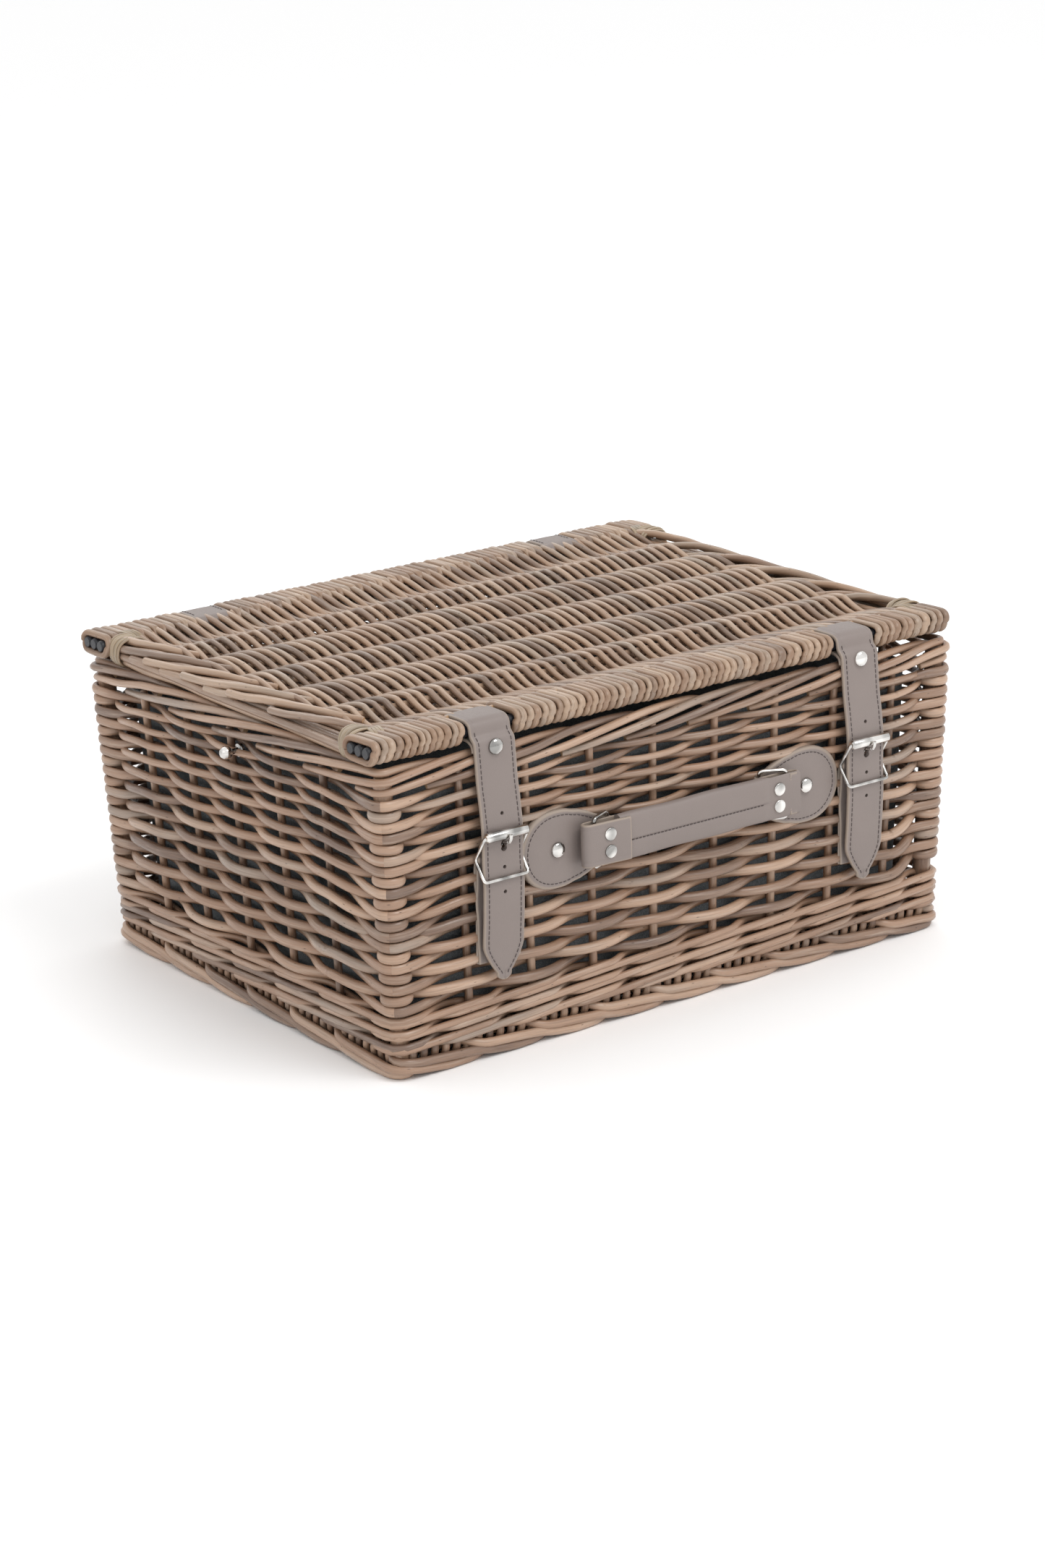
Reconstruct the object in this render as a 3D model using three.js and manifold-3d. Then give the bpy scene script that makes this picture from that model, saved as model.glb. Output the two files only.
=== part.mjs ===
// Willow picnic hamper: a tapered, randed basket body with a cloth lining, a
// hinged woven lid, two leather closure straps with roller buckles, and a
// leather carrying handle on two swinging rings.
// Millimetres. +Z is up and -Y is the front. Shapes are drawn about the middle of
// the body's plan; the finished meshes are moved so that the origin is under the
// middle of the whole object, on the surface it stands on.

import * as THREE from 'three';
import { mergeVertices } from 'three/addons/utils/BufferGeometryUtils.js';
import Module from 'manifold-3d';

const wasm = await Module();
wasm.setup();

// ---- Driving dimensions ----------------------------------------------------

const GAP = 0.3;

// From the middle of the whole object's plan to the middle of the body's.
const BODY_X = 3.835;
const BODY_Y = 6.47;

// Body plan at the floor, and how much wider it is at the rim.
const PLAN_X = 196.4;
const PLAN_Y = 153.2;
const RIM_TOP = 181.3;
const SPREAD_X = 205.0 / 196.4 - 1;
const SPREAD_Y = 159.1 / 153.2 - 1;
const WALL_INSET = 1.6;
const WALL_THICK = 12.0;
const FOOT_TOP = 8.0;
const BASE_TOP = 15.7;
const WALE_BOTTOM = 16.0;
const WALE_TOP = 38.0;
const RIM_BOTTOM = 166.0;
const POST_RADIUS = 9.5;
const LINING_THICK = 1.5;
const LINING_CORNER = 24.0;

// Lid.
const ROD_RADIUS = 3.6;
const ROD_Y = [151.5, 144.0, 136.5];
const ROD_Z = 192.9;
const ROD_LEFT = -209.1;
const ROD_RIGHT = 206.0;
const LID_BOTTOM = 186.4;
const LID_TOP = 199.4;
const LID_HALF_X = 190.2;
const RAIL_BOTTOM = 185.5;
const RAIL_TOP = 200.3;
const RAIL_OUTER = 158.7;
const RAIL_INNER = 129.4;

// Leather.
const STRAP_X = 131.0;
const STRAP_WIDTH = 29.5;
const STRAP_THICK = 2.2;
const STRAP_TIP = 48.5;
const HINGE_WIDTH = 26.0;

// Roller buckle, as (y, z) places of its three cross bars.
const BUCKLE_HALF = 16.4;
const WIRE = 1.15;
const ROLLER_BAR = [-170.0, 135.5];
const CENTRE_BAR = [-160.4, 121.0];
const KEEPER_BAR = [-168.6, 109.5];
const ROLLER_RADIUS = 2.9;

// Handle.
const HANDLE_Z = 115.5;
const TAB_Z = 114.5;
const TAB_X = 90.0;
const TAB_FRONT = -160.2;
const RING_INNER = [55.0, -160.1];
const RING_OUTER = [69.4, -167.3];
const RING_HEIGHT = 29.0;
const RING_WIRE = 1.2;
const LOOP_END = 77.2;
const LOOP_RIVET_X = 61.5;

// ---- Materials ---------------------------------------------------------------

const material = (color, roughness, metalness) =>
  new THREE.MeshStandardMaterial({ color, roughness, metalness });

const willow = () => material(0x9a7a5c, 0.7, 0);
const willowDark = () => material(0x7d6650, 0.75, 0);
const cane = () => material(0xa5957c, 0.65, 0);
const leather = () => material(0x938a84, 0.55, 0);
const chrome = () => material(0xd8d4cc, 0.15, 1);
const cloth = () => material(0x3f4140, 0.95, 0);

// ---- Solids ------------------------------------------------------------------

function toSolid(geometry) {
  const bare = geometry.clone();
  bare.deleteAttribute('normal');
  bare.deleteAttribute('uv');
  const merged = mergeVertices(bare, 1e-4);
  return new wasm.Manifold(new wasm.Mesh({
    numProp: 3,
    vertProperties: new Float32Array(merged.attributes.position.array),
    triVerts: new Uint32Array(merged.index.array),
  }));
}

function toGeometry(solid) {
  const mesh = solid.getMesh();
  const geometry = new THREE.BufferGeometry();
  geometry.setAttribute('position', new THREE.BufferAttribute(mesh.vertProperties, 3));
  geometry.setIndex(new THREE.BufferAttribute(mesh.triVerts, 1));
  geometry.computeVertexNormals();
  return geometry;
}

const join = (parts) => toGeometry(
  parts.map(toSolid).reduce((whole, part) => whole.add(part)));

const cut = (body, tools) => toGeometry(
  tools.map(toSolid).reduce((whole, tool) => whole.subtract(tool), toSolid(body)));

const common = (a, b) => toGeometry(toSolid(a).intersect(toSolid(b)));

// ---- Shapes ------------------------------------------------------------------

function roundedRect(x0, y0, x1, y1, radius) {
  const shape = new THREE.Shape();
  shape.moveTo(x0 + radius, y0);
  shape.lineTo(x1 - radius, y0);
  shape.absarc(x1 - radius, y0 + radius, radius, -Math.PI / 2, 0);
  shape.lineTo(x1, y1 - radius);
  shape.absarc(x1 - radius, y1 - radius, radius, 0, Math.PI / 2);
  shape.lineTo(x0 + radius, y1);
  shape.absarc(x0 + radius, y1 - radius, radius, Math.PI / 2, Math.PI);
  shape.lineTo(x0, y0 + radius);
  shape.absarc(x0 + radius, y0 + radius, radius, Math.PI, Math.PI * 1.5);
  return shape;
}

function disc(x, y, radius) {
  const shape = new THREE.Shape();
  shape.absarc(x, y, radius, 0, Math.PI * 2);
  return shape;
}

// A band of even thickness along a centre line.
function ribbon(points, thickness) {
  const left = [];
  const right = [];
  for (let i = 0; i < points.length; i += 1) {
    const before = points[Math.max(i - 1, 0)];
    const after = points[Math.min(i + 1, points.length - 1)];
    const length = Math.hypot(after[0] - before[0], after[1] - before[1]);
    const nx = -(after[1] - before[1]) / length * thickness / 2;
    const ny = (after[0] - before[0]) / length * thickness / 2;
    left.push(new THREE.Vector2(points[i][0] + nx, points[i][1] + ny));
    right.unshift(new THREE.Vector2(points[i][0] - nx, points[i][1] - ny));
  }
  return new THREE.Shape([...left, ...right]);
}

function extrude(shape, depth, curveSegments = 4) {
  return new THREE.ExtrudeGeometry(shape, { depth, bevelEnabled: false, curveSegments });
}

// Profile drawn in (y, z), swept along X from x0 to x1.
function alongX(shape, x0, x1, curveSegments) {
  const turn = new THREE.Matrix4().makeBasis(
    new THREE.Vector3(0, 1, 0), new THREE.Vector3(0, 0, 1), new THREE.Vector3(1, 0, 0));
  return extrude(shape, x1 - x0, curveSegments).applyMatrix4(turn).translate(x0, 0, 0);
}

// Profile drawn in (x, z), swept along Y from y0 to y1.
function alongY(shape, y0, y1, curveSegments) {
  return extrude(shape, y1 - y0, curveSegments).rotateX(Math.PI / 2).translate(0, y1, 0);
}

function alongZ(shape, z0, z1, curveSegments) {
  return extrude(shape, z1 - z0, curveSegments).translate(0, 0, z0);
}

function box(x0, x1, y0, y1, z0, z1) {
  return new THREE.BoxGeometry(x1 - x0, y1 - y0, z1 - z0)
    .translate((x0 + x1) / 2, (y0 + y1) / 2, (z0 + z1) / 2);
}

// Round bar between two points.
function bar(from, to, radius, segments = 10) {
  const start = new THREE.Vector3(...from);
  const end = new THREE.Vector3(...to);
  const turn = new THREE.Quaternion().setFromUnitVectors(
    new THREE.Vector3(0, 1, 0), end.clone().sub(start).normalize());
  const middle = start.clone().add(end).multiplyScalar(0.5);
  return new THREE.CylinderGeometry(radius, radius, start.distanceTo(end), segments)
    .applyQuaternion(turn).translate(middle.x, middle.y, middle.z);
}

// Round wire bent through a list of points.
function wirePath(points, radius, closed) {
  const parts = [];
  const last = closed ? points.length : points.length - 1;
  for (let i = 0; i < last; i += 1) {
    parts.push(bar(points[i], points[(i + 1) % points.length], radius, 8));
  }
  for (const point of points) {
    parts.push(new THREE.SphereGeometry(radius * 1.04, 8, 5).translate(...point));
  }
  return join(parts);
}

// Solid of revolution about an axis along -Y, drawn as (radius, height) points.
function buttonY(profile, segments = 14) {
  const points = profile.map(([radius, height]) => new THREE.Vector2(radius, height));
  return new THREE.LatheGeometry(points, segments).rotateX(Math.PI);
}

function domeProfile(radius, height, shankRadius, shankLength) {
  const profile = [[0, -shankLength], [shankRadius, -shankLength], [shankRadius, 0], [radius, 0]];
  for (let i = 1; i < 4; i += 1) {
    const angle = i / 4 * Math.PI / 2;
    profile.push([radius * Math.cos(angle), height * Math.sin(angle)]);
  }
  profile.push([0, height]);
  return profile;
}

// ---- Scene helpers -------------------------------------------------------------

const hamper = new THREE.Group();
const bodyGroup = new THREE.Group();
const lidGroup = new THREE.Group();
const frontGroup = new THREE.Group();
hamper.add(bodyGroup, lidGroup, frontGroup);
hamper.position.set(BODY_X, BODY_Y, 0);

function place(group, name, geometry, look, x = 0, y = 0, z = 0) {
  const mesh = new THREE.Mesh(geometry, look);
  mesh.name = name;
  mesh.position.set(x, y, z);
  group.add(mesh);
  return mesh;
}

// The body is wider at the rim, so its solids are drawn on the floor plan and
// widened with their height.
function taper(geometry) {
  const position = geometry.attributes.position;
  for (let i = 0; i < position.count; i += 1) {
    const rise = position.getZ(i) / RIM_TOP;
    position.setX(i, position.getX(i) * (1 + SPREAD_X * rise));
    position.setY(i, position.getY(i) * (1 + SPREAD_Y * rise));
  }
  geometry.computeVertexNormals();
  return geometry;
}

function centredRect(halfX, halfY, radius) {
  return roundedRect(-halfX, -halfY, halfX, halfY, radius);
}

function frameRing(inset, width, outerRadius, innerRadius, z0, z1) {
  const shape = centredRect(PLAN_X - inset, PLAN_Y - inset, outerRadius);
  shape.holes.push(centredRect(PLAN_X - inset - width, PLAN_Y - inset - width, innerRadius));
  return taper(alongZ(shape, z0, z1));
}

const SIDES = [['left', -1], ['right', 1]];
const ENDS = [['front', -1], ['back', 1]];

// ---- Body ----------------------------------------------------------------------

place(bodyGroup, 'foot_border', frameRing(0, 20, 12, 4, 0, FOOT_TOP), willow());

place(bodyGroup, 'base_weave',
  taper(alongZ(centredRect(PLAN_X - 2.9, PLAN_Y - 2.9, 9), FOOT_TOP + GAP, BASE_TOP)),
  willowDark());

place(bodyGroup, 'bottom_wale', frameRing(0.8, 13, 11, 4, WALE_BOTTOM, WALE_TOP), willow());

place(bodyGroup, 'rim_border', frameRing(0, 19.5, 12, 4, RIM_BOTTOM, RIM_TOP), willow());

const wallX = PLAN_X - WALL_INSET;
const wallY = PLAN_Y - WALL_INSET;
const postX = wallX - POST_RADIUS;
const postY = wallY - POST_RADIUS;
const wallBottom = WALE_TOP + GAP;
const wallTop = RIM_BOTTOM - GAP;

for (const [side, signX] of SIDES) {
  for (const [end, signY] of ENDS) {
    const post = alongZ(disc(signX * postX, signY * postY, POST_RADIUS), wallBottom, wallTop, 20);
    place(bodyGroup, `corner_post_${end}_${side}`, taper(post), willow());
  }
}

for (const [end, signY] of ENDS) {
  const half = postX - POST_RADIUS - GAP;
  const middle = signY * (wallY - WALL_THICK / 2);
  const wall = box(-half, half, middle - WALL_THICK / 2, middle + WALL_THICK / 2,
    wallBottom, wallTop);
  place(bodyGroup, `${end}_wall`, taper(wall), willow());
}

// The ball stud goes through the left end wall near its top.
const STUD_Y = -9.0;
const STUD_Z = 161.0;
const studBore = bar([-230, STUD_Y, STUD_Z], [-150, STUD_Y, STUD_Z], 2.3, 16);

for (const [side, signX] of SIDES) {
  const half = postY - POST_RADIUS - GAP;
  const middle = signX * (wallX - WALL_THICK / 2);
  const wall = taper(box(middle - WALL_THICK / 2, middle + WALL_THICK / 2, -half, half,
    wallBottom, wallTop));
  place(bodyGroup, `${side}_wall`, side === 'left' ? cut(wall, [studBore]) : wall, willow());
}

const liningX = wallX - WALL_THICK - 0.5;
const liningY = wallY - WALL_THICK - 0.5;
const liningBottom = BASE_TOP + 0.4;
const liningTop = RIM_BOTTOM - 0.5;
const liningOuter = alongZ(centredRect(liningX, liningY, LINING_CORNER), liningBottom, liningTop);
const liningInner = alongZ(
  centredRect(liningX - LINING_THICK, liningY - LINING_THICK, LINING_CORNER - LINING_THICK),
  liningBottom + LINING_THICK, liningTop + 5);
place(bodyGroup, 'lining', taper(cut(liningOuter, [liningInner])), cloth());

const wallAtStud = wallX * (1 + SPREAD_X * STUD_Z / RIM_TOP);
const studProfile = [[0, -10], [2, -10], [2, 0.4], [4.2, 0.4], [4.2, 1.4], [2, 1.9], [1.8, 4.6]];
for (let i = 1; i < 6; i += 1) {
  const angle = -Math.PI / 2 + 0.48 + i / 6 * (Math.PI - 0.48);
  studProfile.push([3.9 * Math.cos(angle), 8.1 + 3.9 * Math.sin(angle)]);
}
studProfile.push([0, 12.0]);
const stud = buttonY(studProfile);
place(bodyGroup, 'stay_ball_stud', stud, chrome(), -wallAtStud, STUD_Y, STUD_Z)
  .rotation.z = -Math.PI / 2;

// ---- Lid -----------------------------------------------------------------------

const railRods = [];
for (const [end, signY] of ENDS) {
  ROD_Y.forEach((y, index) => {
    railRods.push([`lid_${end}_rod_${index + 1}`, signY * y]);
  });
}

function railSleeve(signY) {
  const near = signY * RAIL_INNER;
  const far = signY * RAIL_OUTER;
  return alongX(
    roundedRect(Math.min(near, far), RAIL_BOTTOM, Math.max(near, far), RAIL_TOP, 6),
    -203.5, 200.5, 4);
}

const notches = [];
for (const [, signX] of SIDES) {
  const x = signX * STRAP_X;
  const half = STRAP_WIDTH / 2 + 0.6;
  const hingeHalf = HINGE_WIDTH / 2 + 0.6;
  notches.push(box(x - half, x + half, -RAIL_OUTER - 2, -RAIL_INNER - 0.7, 180, 205));
  notches.push(box(x - hingeHalf, x + hingeHalf, RAIL_INNER + 0.7, RAIL_OUTER + 2, 180, 205));
}
const rodBores = railRods.map(([, y]) => bar([-220, y, ROD_Z], [220, y, ROD_Z],
  ROD_RADIUS + GAP, 16));

const lidPanel = join([
  box(-LID_HALF_X, LID_HALF_X, -RAIL_INNER - 0.5, RAIL_INNER + 0.5, LID_BOTTOM, LID_TOP),
  railSleeve(-1),
  railSleeve(1),
]);
place(lidGroup, 'lid_weave', cut(lidPanel, [...rodBores, ...notches]), willow());

for (const [name, y] of railRods) {
  place(lidGroup, name, bar([ROD_LEFT, 0, 0], [ROD_RIGHT, 0, 0], ROD_RADIUS, 16),
    willowDark(), 0, y, ROD_Z);
}

for (const [side, signX] of SIDES) {
  const middle = signX * 198.65;
  const border = roundedRect(middle - 6.85, 183.2, middle + 6.85, 196.3, 5);
  place(lidGroup, `lid_border_${side}`, alongY(border, 0.4 - RAIL_INNER, RAIL_INNER - 0.4), willow());

  const lash = roundedRect(middle - 8.05, 181.9, middle + 8.05, 197.6, 6);
  lash.holes.push(roundedRect(middle - 7.15, 182.9, middle + 7.15, 196.6, 5.3));
  for (const [end, signY] of ENDS) {
    const tie = alongY(lash, -5.2, 5.2);
    place(lidGroup, `lid_corner_tie_${end}_${side}`, tie, cane(), 0, signY * 123.2, 0);
  }
}

// ---- Closure straps --------------------------------------------------------------

// Loop of leather round the three rods of a rail, with the rail on the -Y side.
function railLoop(halfWidth) {
  const inner = STRAP_THICK;
  const y0 = -ROD_Y[0] - ROD_RADIUS - GAP;
  const y1 = -ROD_Y[2] + ROD_RADIUS + GAP;
  const z0 = ROD_Z - ROD_RADIUS - GAP;
  const z1 = ROD_Z + ROD_RADIUS + GAP;
  const loop = roundedRect(y0 - inner, z0 - inner, y1 + inner, z1 + inner, ROD_RADIUS + inner);
  loop.holes.push(roundedRect(y0, z0, y1, z1, ROD_RADIUS));
  return alongX(loop, -halfWidth, halfWidth, 4);
}

function closureStrap() {
  const half = STRAP_WIDTH / 2;
  const tail = ribbon([[-156.6, 193], [-157.4, 190.2], [-160.2, 187.4], [-160.8, 184.5],
    [-161.0, 180], [-161.6, 174], [-163.2, 160], [-165.3, 143], [-165.7, 138], [-165.7, 104],
    [-164.6, 85], [-163.0, 60], [-162.6, STRAP_TIP]], STRAP_THICK);
  const liner = ribbon([[-150.5, 188.0], [-155.5, 187.6], [-158.2, 185.6], [-158.9, 183.8],
    [-159.0, 181.9]], STRAP_THICK);
  const outline = new THREE.Shape();
  outline.moveTo(-half, 215);
  outline.lineTo(-half, 76);
  outline.bezierCurveTo(-half, 66, -8, 54, -4.2, STRAP_TIP + 1.6);
  outline.quadraticCurveTo(0, STRAP_TIP - 1.2, 4.2, STRAP_TIP + 1.6);
  outline.bezierCurveTo(8, 54, half, 66, half, 76);
  outline.lineTo(half, 215);
  const body = common(
    join([railLoop(half), alongX(tail, -half, half), alongX(liner, -half, half)]),
    alongY(outline, -180, -100));
  const holes = [146.5, 115.5, 101.0].map((z) => bar([0, -180, z], [0, -160, z], 1.8));
  holes.push(bar([0, -180, 184], [0, -150, 184], 1.8));
  holes.push(alongY(roundedRect(-2.2, 125.6, 2.2, 132.4, 2.1), -180, -160));
  return cut(body, holes);
}

// Lower strap: folded round the buckle's centre bar, with a slot for the prong.
function buckleStrap() {
  const [y, z] = CENTRE_BAR;
  const half = 14.5;
  const fold = disc(y, z, WIRE + GAP + 2.1);
  const tail = ribbon([[-158.9, 120], [-158.5, 112], [-158.2, 100], [-158.5, 88], [-158.1, 76],
    [-158.0, 59]], 3.0);
  return cut(join([alongX(fold, -half, half), alongX(tail, -half, half)]), [
    bar([-30, y, z], [30, y, z], WIRE + GAP, 16),
    box(-2.1, 2.1, -166, -150, z - 3.4, z + 6),
    bar([0, -180, 74], [0, -140, 74], 1.7),
  ]);
}

function buckleFrame() {
  const h = BUCKLE_HALF;
  const at = (x, [y, z]) => [x, y, z];
  const outline = wirePath([at(-h, ROLLER_BAR), at(h, ROLLER_BAR), at(h, CENTRE_BAR),
    at(h, KEEPER_BAR), at(-h, KEEPER_BAR), at(-h, CENTRE_BAR)], WIRE, true);
  return join([outline, bar(at(-h, CENTRE_BAR), at(h, CENTRE_BAR), WIRE, 8)]);
}

function buckleRoller() {
  const tube = disc(ROLLER_BAR[0], ROLLER_BAR[1], ROLLER_RADIUS);
  tube.holes.push(disc(ROLLER_BAR[0], ROLLER_BAR[1], WIRE + GAP));
  return alongX(tube, -14.5, 14.5, 14);
}

function buckleProng() {
  const [y, z] = CENTRE_BAR;
  const eye = bar([-1.7, y, z], [1.7, y, z], 2.6, 16);
  const tongue = wirePath([[0, y - 0.8, z + 2.2], [0, -165.0, 128.8], [0, -169.6, 130.5],
    [0, -173.5, 131.6], [0, -174.3, 135.6]], 1.1, false);
  return cut(join([eye, tongue]), [bar([-5, y, z], [5, y, z], WIRE + GAP, 16)]);
}

for (const [side, signX] of SIDES) {
  const x = signX * STRAP_X;
  place(frontGroup, `closure_strap_${side}`, closureStrap(), leather(), x);
  place(frontGroup, `strap_rivet_${side}`, buttonY(domeProfile(4.7, 2.6, 1.5, 4.4)), chrome(),
    x, -162.2, 184);
  place(frontGroup, `buckle_strap_${side}`, buckleStrap(), leather(), x);
  place(frontGroup, `buckle_strap_rivet_${side}`, buttonY(domeProfile(4.0, 1.6, 1.3, 2.6)),
    chrome(), x, -160.0, 74);
  place(frontGroup, `buckle_frame_${side}`, buckleFrame(), chrome(), x);
  place(frontGroup, `buckle_roller_${side}`, buckleRoller(), chrome(), x);
  place(frontGroup, `buckle_prong_${side}`, buckleProng(), chrome(), x);
}

// ---- Hinge straps ------------------------------------------------------------------

function hingeStrap() {
  const half = HINGE_WIDTH / 2;
  const tail = ribbon([[-156.6, 193], [-157.4, 190], [-160.4, 186.6], [-161.2, 182],
    [-161.2, 174], [-160.6, 166], [-159.4, 158], [-159.2, 144]], STRAP_THICK);
  return cut(join([railLoop(half), alongX(tail, -half, half)]),
    [bar([0, -170, 151], [0, -140, 151], 1.7)]);
}

for (const [side, signX] of SIDES) {
  const strap = place(bodyGroup, `hinge_strap_${side}`, hingeStrap(), leather(), signX * STRAP_X);
  strap.rotation.z = Math.PI;
  const rivet = place(bodyGroup, `hinge_rivet_${side}`, buttonY(domeProfile(4.2, 1.8, 1.4, 2.0)),
    chrome(), signX * STRAP_X, 160.7, 151);
  rivet.rotation.z = Math.PI;
}

// ---- Handle ----------------------------------------------------------------------------

// Band of padded leather, with a loop at each end that holds a ring's outer bar.
function handleBand() {
  const z0 = HANDLE_Z - 12.75;
  const z1 = HANDLE_Z + 12.75;
  const parts = [alongX(roundedRect(-171.6, HANDLE_Z - 13.75, -163.6, HANDLE_Z + 13.75, 3.8),
    -52, 52, 5)];
  const bores = [];
  for (const sign of [-1, 1]) {
    const start = 49;
    const middle = sign * (start + LOOP_END) / 2;
    const half = (LOOP_END - start) / 2;
    parts.push(alongZ(roundedRect(middle - half, -171, middle + half, -163.6, 2.8), z0, z1, 5));
    const cavity = sign * 69.3;
    bores.push(alongZ(roundedRect(cavity - 5.7, -168.9, cavity + 5.7, -165.7, 1.3), z0 - 5, z1 + 5, 4));
    for (const dz of [-5.1, 5.1]) {
      const x = sign * LOOP_RIVET_X;
      bores.push(bar([x, -175, HANDLE_Z + dz], [x, -165.8, HANDLE_Z + dz], 1.4));
    }
  }
  return cut(join(parts), bores);
}

// Spade-shaped leather tab, its neck folded round the ring's inner bar.
function handleTab(sign) {
  const shape = new THREE.Shape();
  shape.moveTo(RING_INNER[0], -12);
  shape.lineTo(59.4, -12);
  shape.bezierCurveTo(62, -12.6, 63, -20, 68, -21);
  shape.bezierCurveTo(76, -22.6, 82, -23, TAB_X, -23);
  shape.absarc(TAB_X, 0, 23, -Math.PI / 2, Math.PI / 2);
  shape.bezierCurveTo(82, 23, 76, 22.6, 68, 21);
  shape.bezierCurveTo(63, 20, 62, 12.6, 59.4, 12);
  shape.lineTo(RING_INNER[0], 12);
  const plate = alongY(shape, TAB_FRONT, TAB_FRONT + 3.2, 8).translate(0, 0, TAB_Z);
  const fold = alongZ(disc(RING_INNER[0], RING_INNER[1], 3.1), TAB_Z - 12, TAB_Z + 12, 18);
  const tab = cut(join([plate, fold]), [
    bar([RING_INNER[0], RING_INNER[1], 80], [RING_INNER[0], RING_INNER[1], 150],
      RING_WIRE + GAP, 14),
    bar([TAB_X, -170, TAB_Z], [TAB_X, -150, TAB_Z], 1.8),
  ]);
  return sign > 0 ? tab : toGeometry(toSolid(tab).mirror([1, 0, 0]));
}

function handleRing(sign) {
  const [xi, yi] = RING_INNER;
  const [xo, yo] = RING_OUTER;
  const z0 = HANDLE_Z - RING_HEIGHT / 2;
  const z1 = HANDLE_Z + RING_HEIGHT / 2;
  return wirePath([[sign * xi, yi, z0], [sign * xo, yo, z0], [sign * xo, yo, z1],
    [sign * xi, yi, z1]], RING_WIRE, true);
}

place(frontGroup, 'handle_band', handleBand(), leather());

for (const [side, sign] of SIDES) {
  place(frontGroup, `handle_tab_${side}`, handleTab(sign), leather());
  place(frontGroup, `handle_tab_rivet_${side}`, buttonY(domeProfile(4.6, 2.5, 1.5, 3.2)), chrome(),
    sign * TAB_X, TAB_FRONT - GAP, TAB_Z);
  place(frontGroup, `handle_ring_${side}`, handleRing(sign), chrome());
  for (const [level, dz] of [['lower', -5.1], ['upper', 5.1]]) {
    const head = [[0, -4.6], [1.1, -4.6], [1.1, 0], [4.0, 0], [4.0, 0.7], [3.5, 1.2], [0, 1.3]];
    place(frontGroup, `handle_rivet_${side}_${level}`, buttonY(head), chrome(),
      sign * LOOP_RIVET_X, -171.3, HANDLE_Z + dz);
  }
}

export default hamper;
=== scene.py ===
import math

import bpy
import numpy as np
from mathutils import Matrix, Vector


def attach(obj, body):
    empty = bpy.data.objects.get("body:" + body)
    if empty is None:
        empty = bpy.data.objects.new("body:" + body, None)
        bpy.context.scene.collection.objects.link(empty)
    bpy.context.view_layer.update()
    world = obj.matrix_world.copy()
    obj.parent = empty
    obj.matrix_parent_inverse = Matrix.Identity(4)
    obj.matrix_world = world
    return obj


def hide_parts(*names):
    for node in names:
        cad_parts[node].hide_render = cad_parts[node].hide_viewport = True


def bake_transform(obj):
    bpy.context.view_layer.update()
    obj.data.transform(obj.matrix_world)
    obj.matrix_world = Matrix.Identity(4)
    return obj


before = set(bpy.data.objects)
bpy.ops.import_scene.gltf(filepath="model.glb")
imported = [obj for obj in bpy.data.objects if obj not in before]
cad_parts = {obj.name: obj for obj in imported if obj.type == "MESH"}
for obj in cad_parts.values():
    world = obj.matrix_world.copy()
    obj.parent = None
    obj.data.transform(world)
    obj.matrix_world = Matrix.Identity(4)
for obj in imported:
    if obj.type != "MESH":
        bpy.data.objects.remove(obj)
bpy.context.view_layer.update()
rng = np.random.default_rng(11)
MM = 0.001
X, Y = np.eye(2)         # plan directions
BODY = np.array([3.835, 6.47, 0.0])   # middle of the body's plan from the origin

# ---- Driving dimensions ----

RIM_TOP = 181.3
SPREAD = np.array([205.0 / 196.4, 159.1 / 153.2]) - 1   # growth of the plan up to the rim
STAKE_X = 193.6          # half plan of the stake line at the floor
STAKE_Y = 148.3
STAKE_R = 2.4
POST_X = 190.3
POST_Y = 145.0
POST_WRAP = 7.5          # centre line of a rod turning round a corner post
POST_R = 5.4
FRONT_STAKES = np.arange(-145.0, 157.0, 43.0)
END_STAKES = np.arange(-96.0, 93.0, 47.0)
ROWS = 23
ROWS_LOW = 38.5
ROWS_HIGH = 166.0
BANDS = "LSLLSLLSLSLSLLSLSLSL"   # corner bands from the rim down

ROD_Y = (151.5, 144.0, 136.5)
ROD_Z = 192.9
BAY = 43.7               # between the lid's sticks
STICK_Y = BAY * np.arange(-2, 3)
STICK_Z = 192.6
WEAVER_PITCH = 3.72
STRAP_X = 131.0


# ---- Shader building ----

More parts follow.
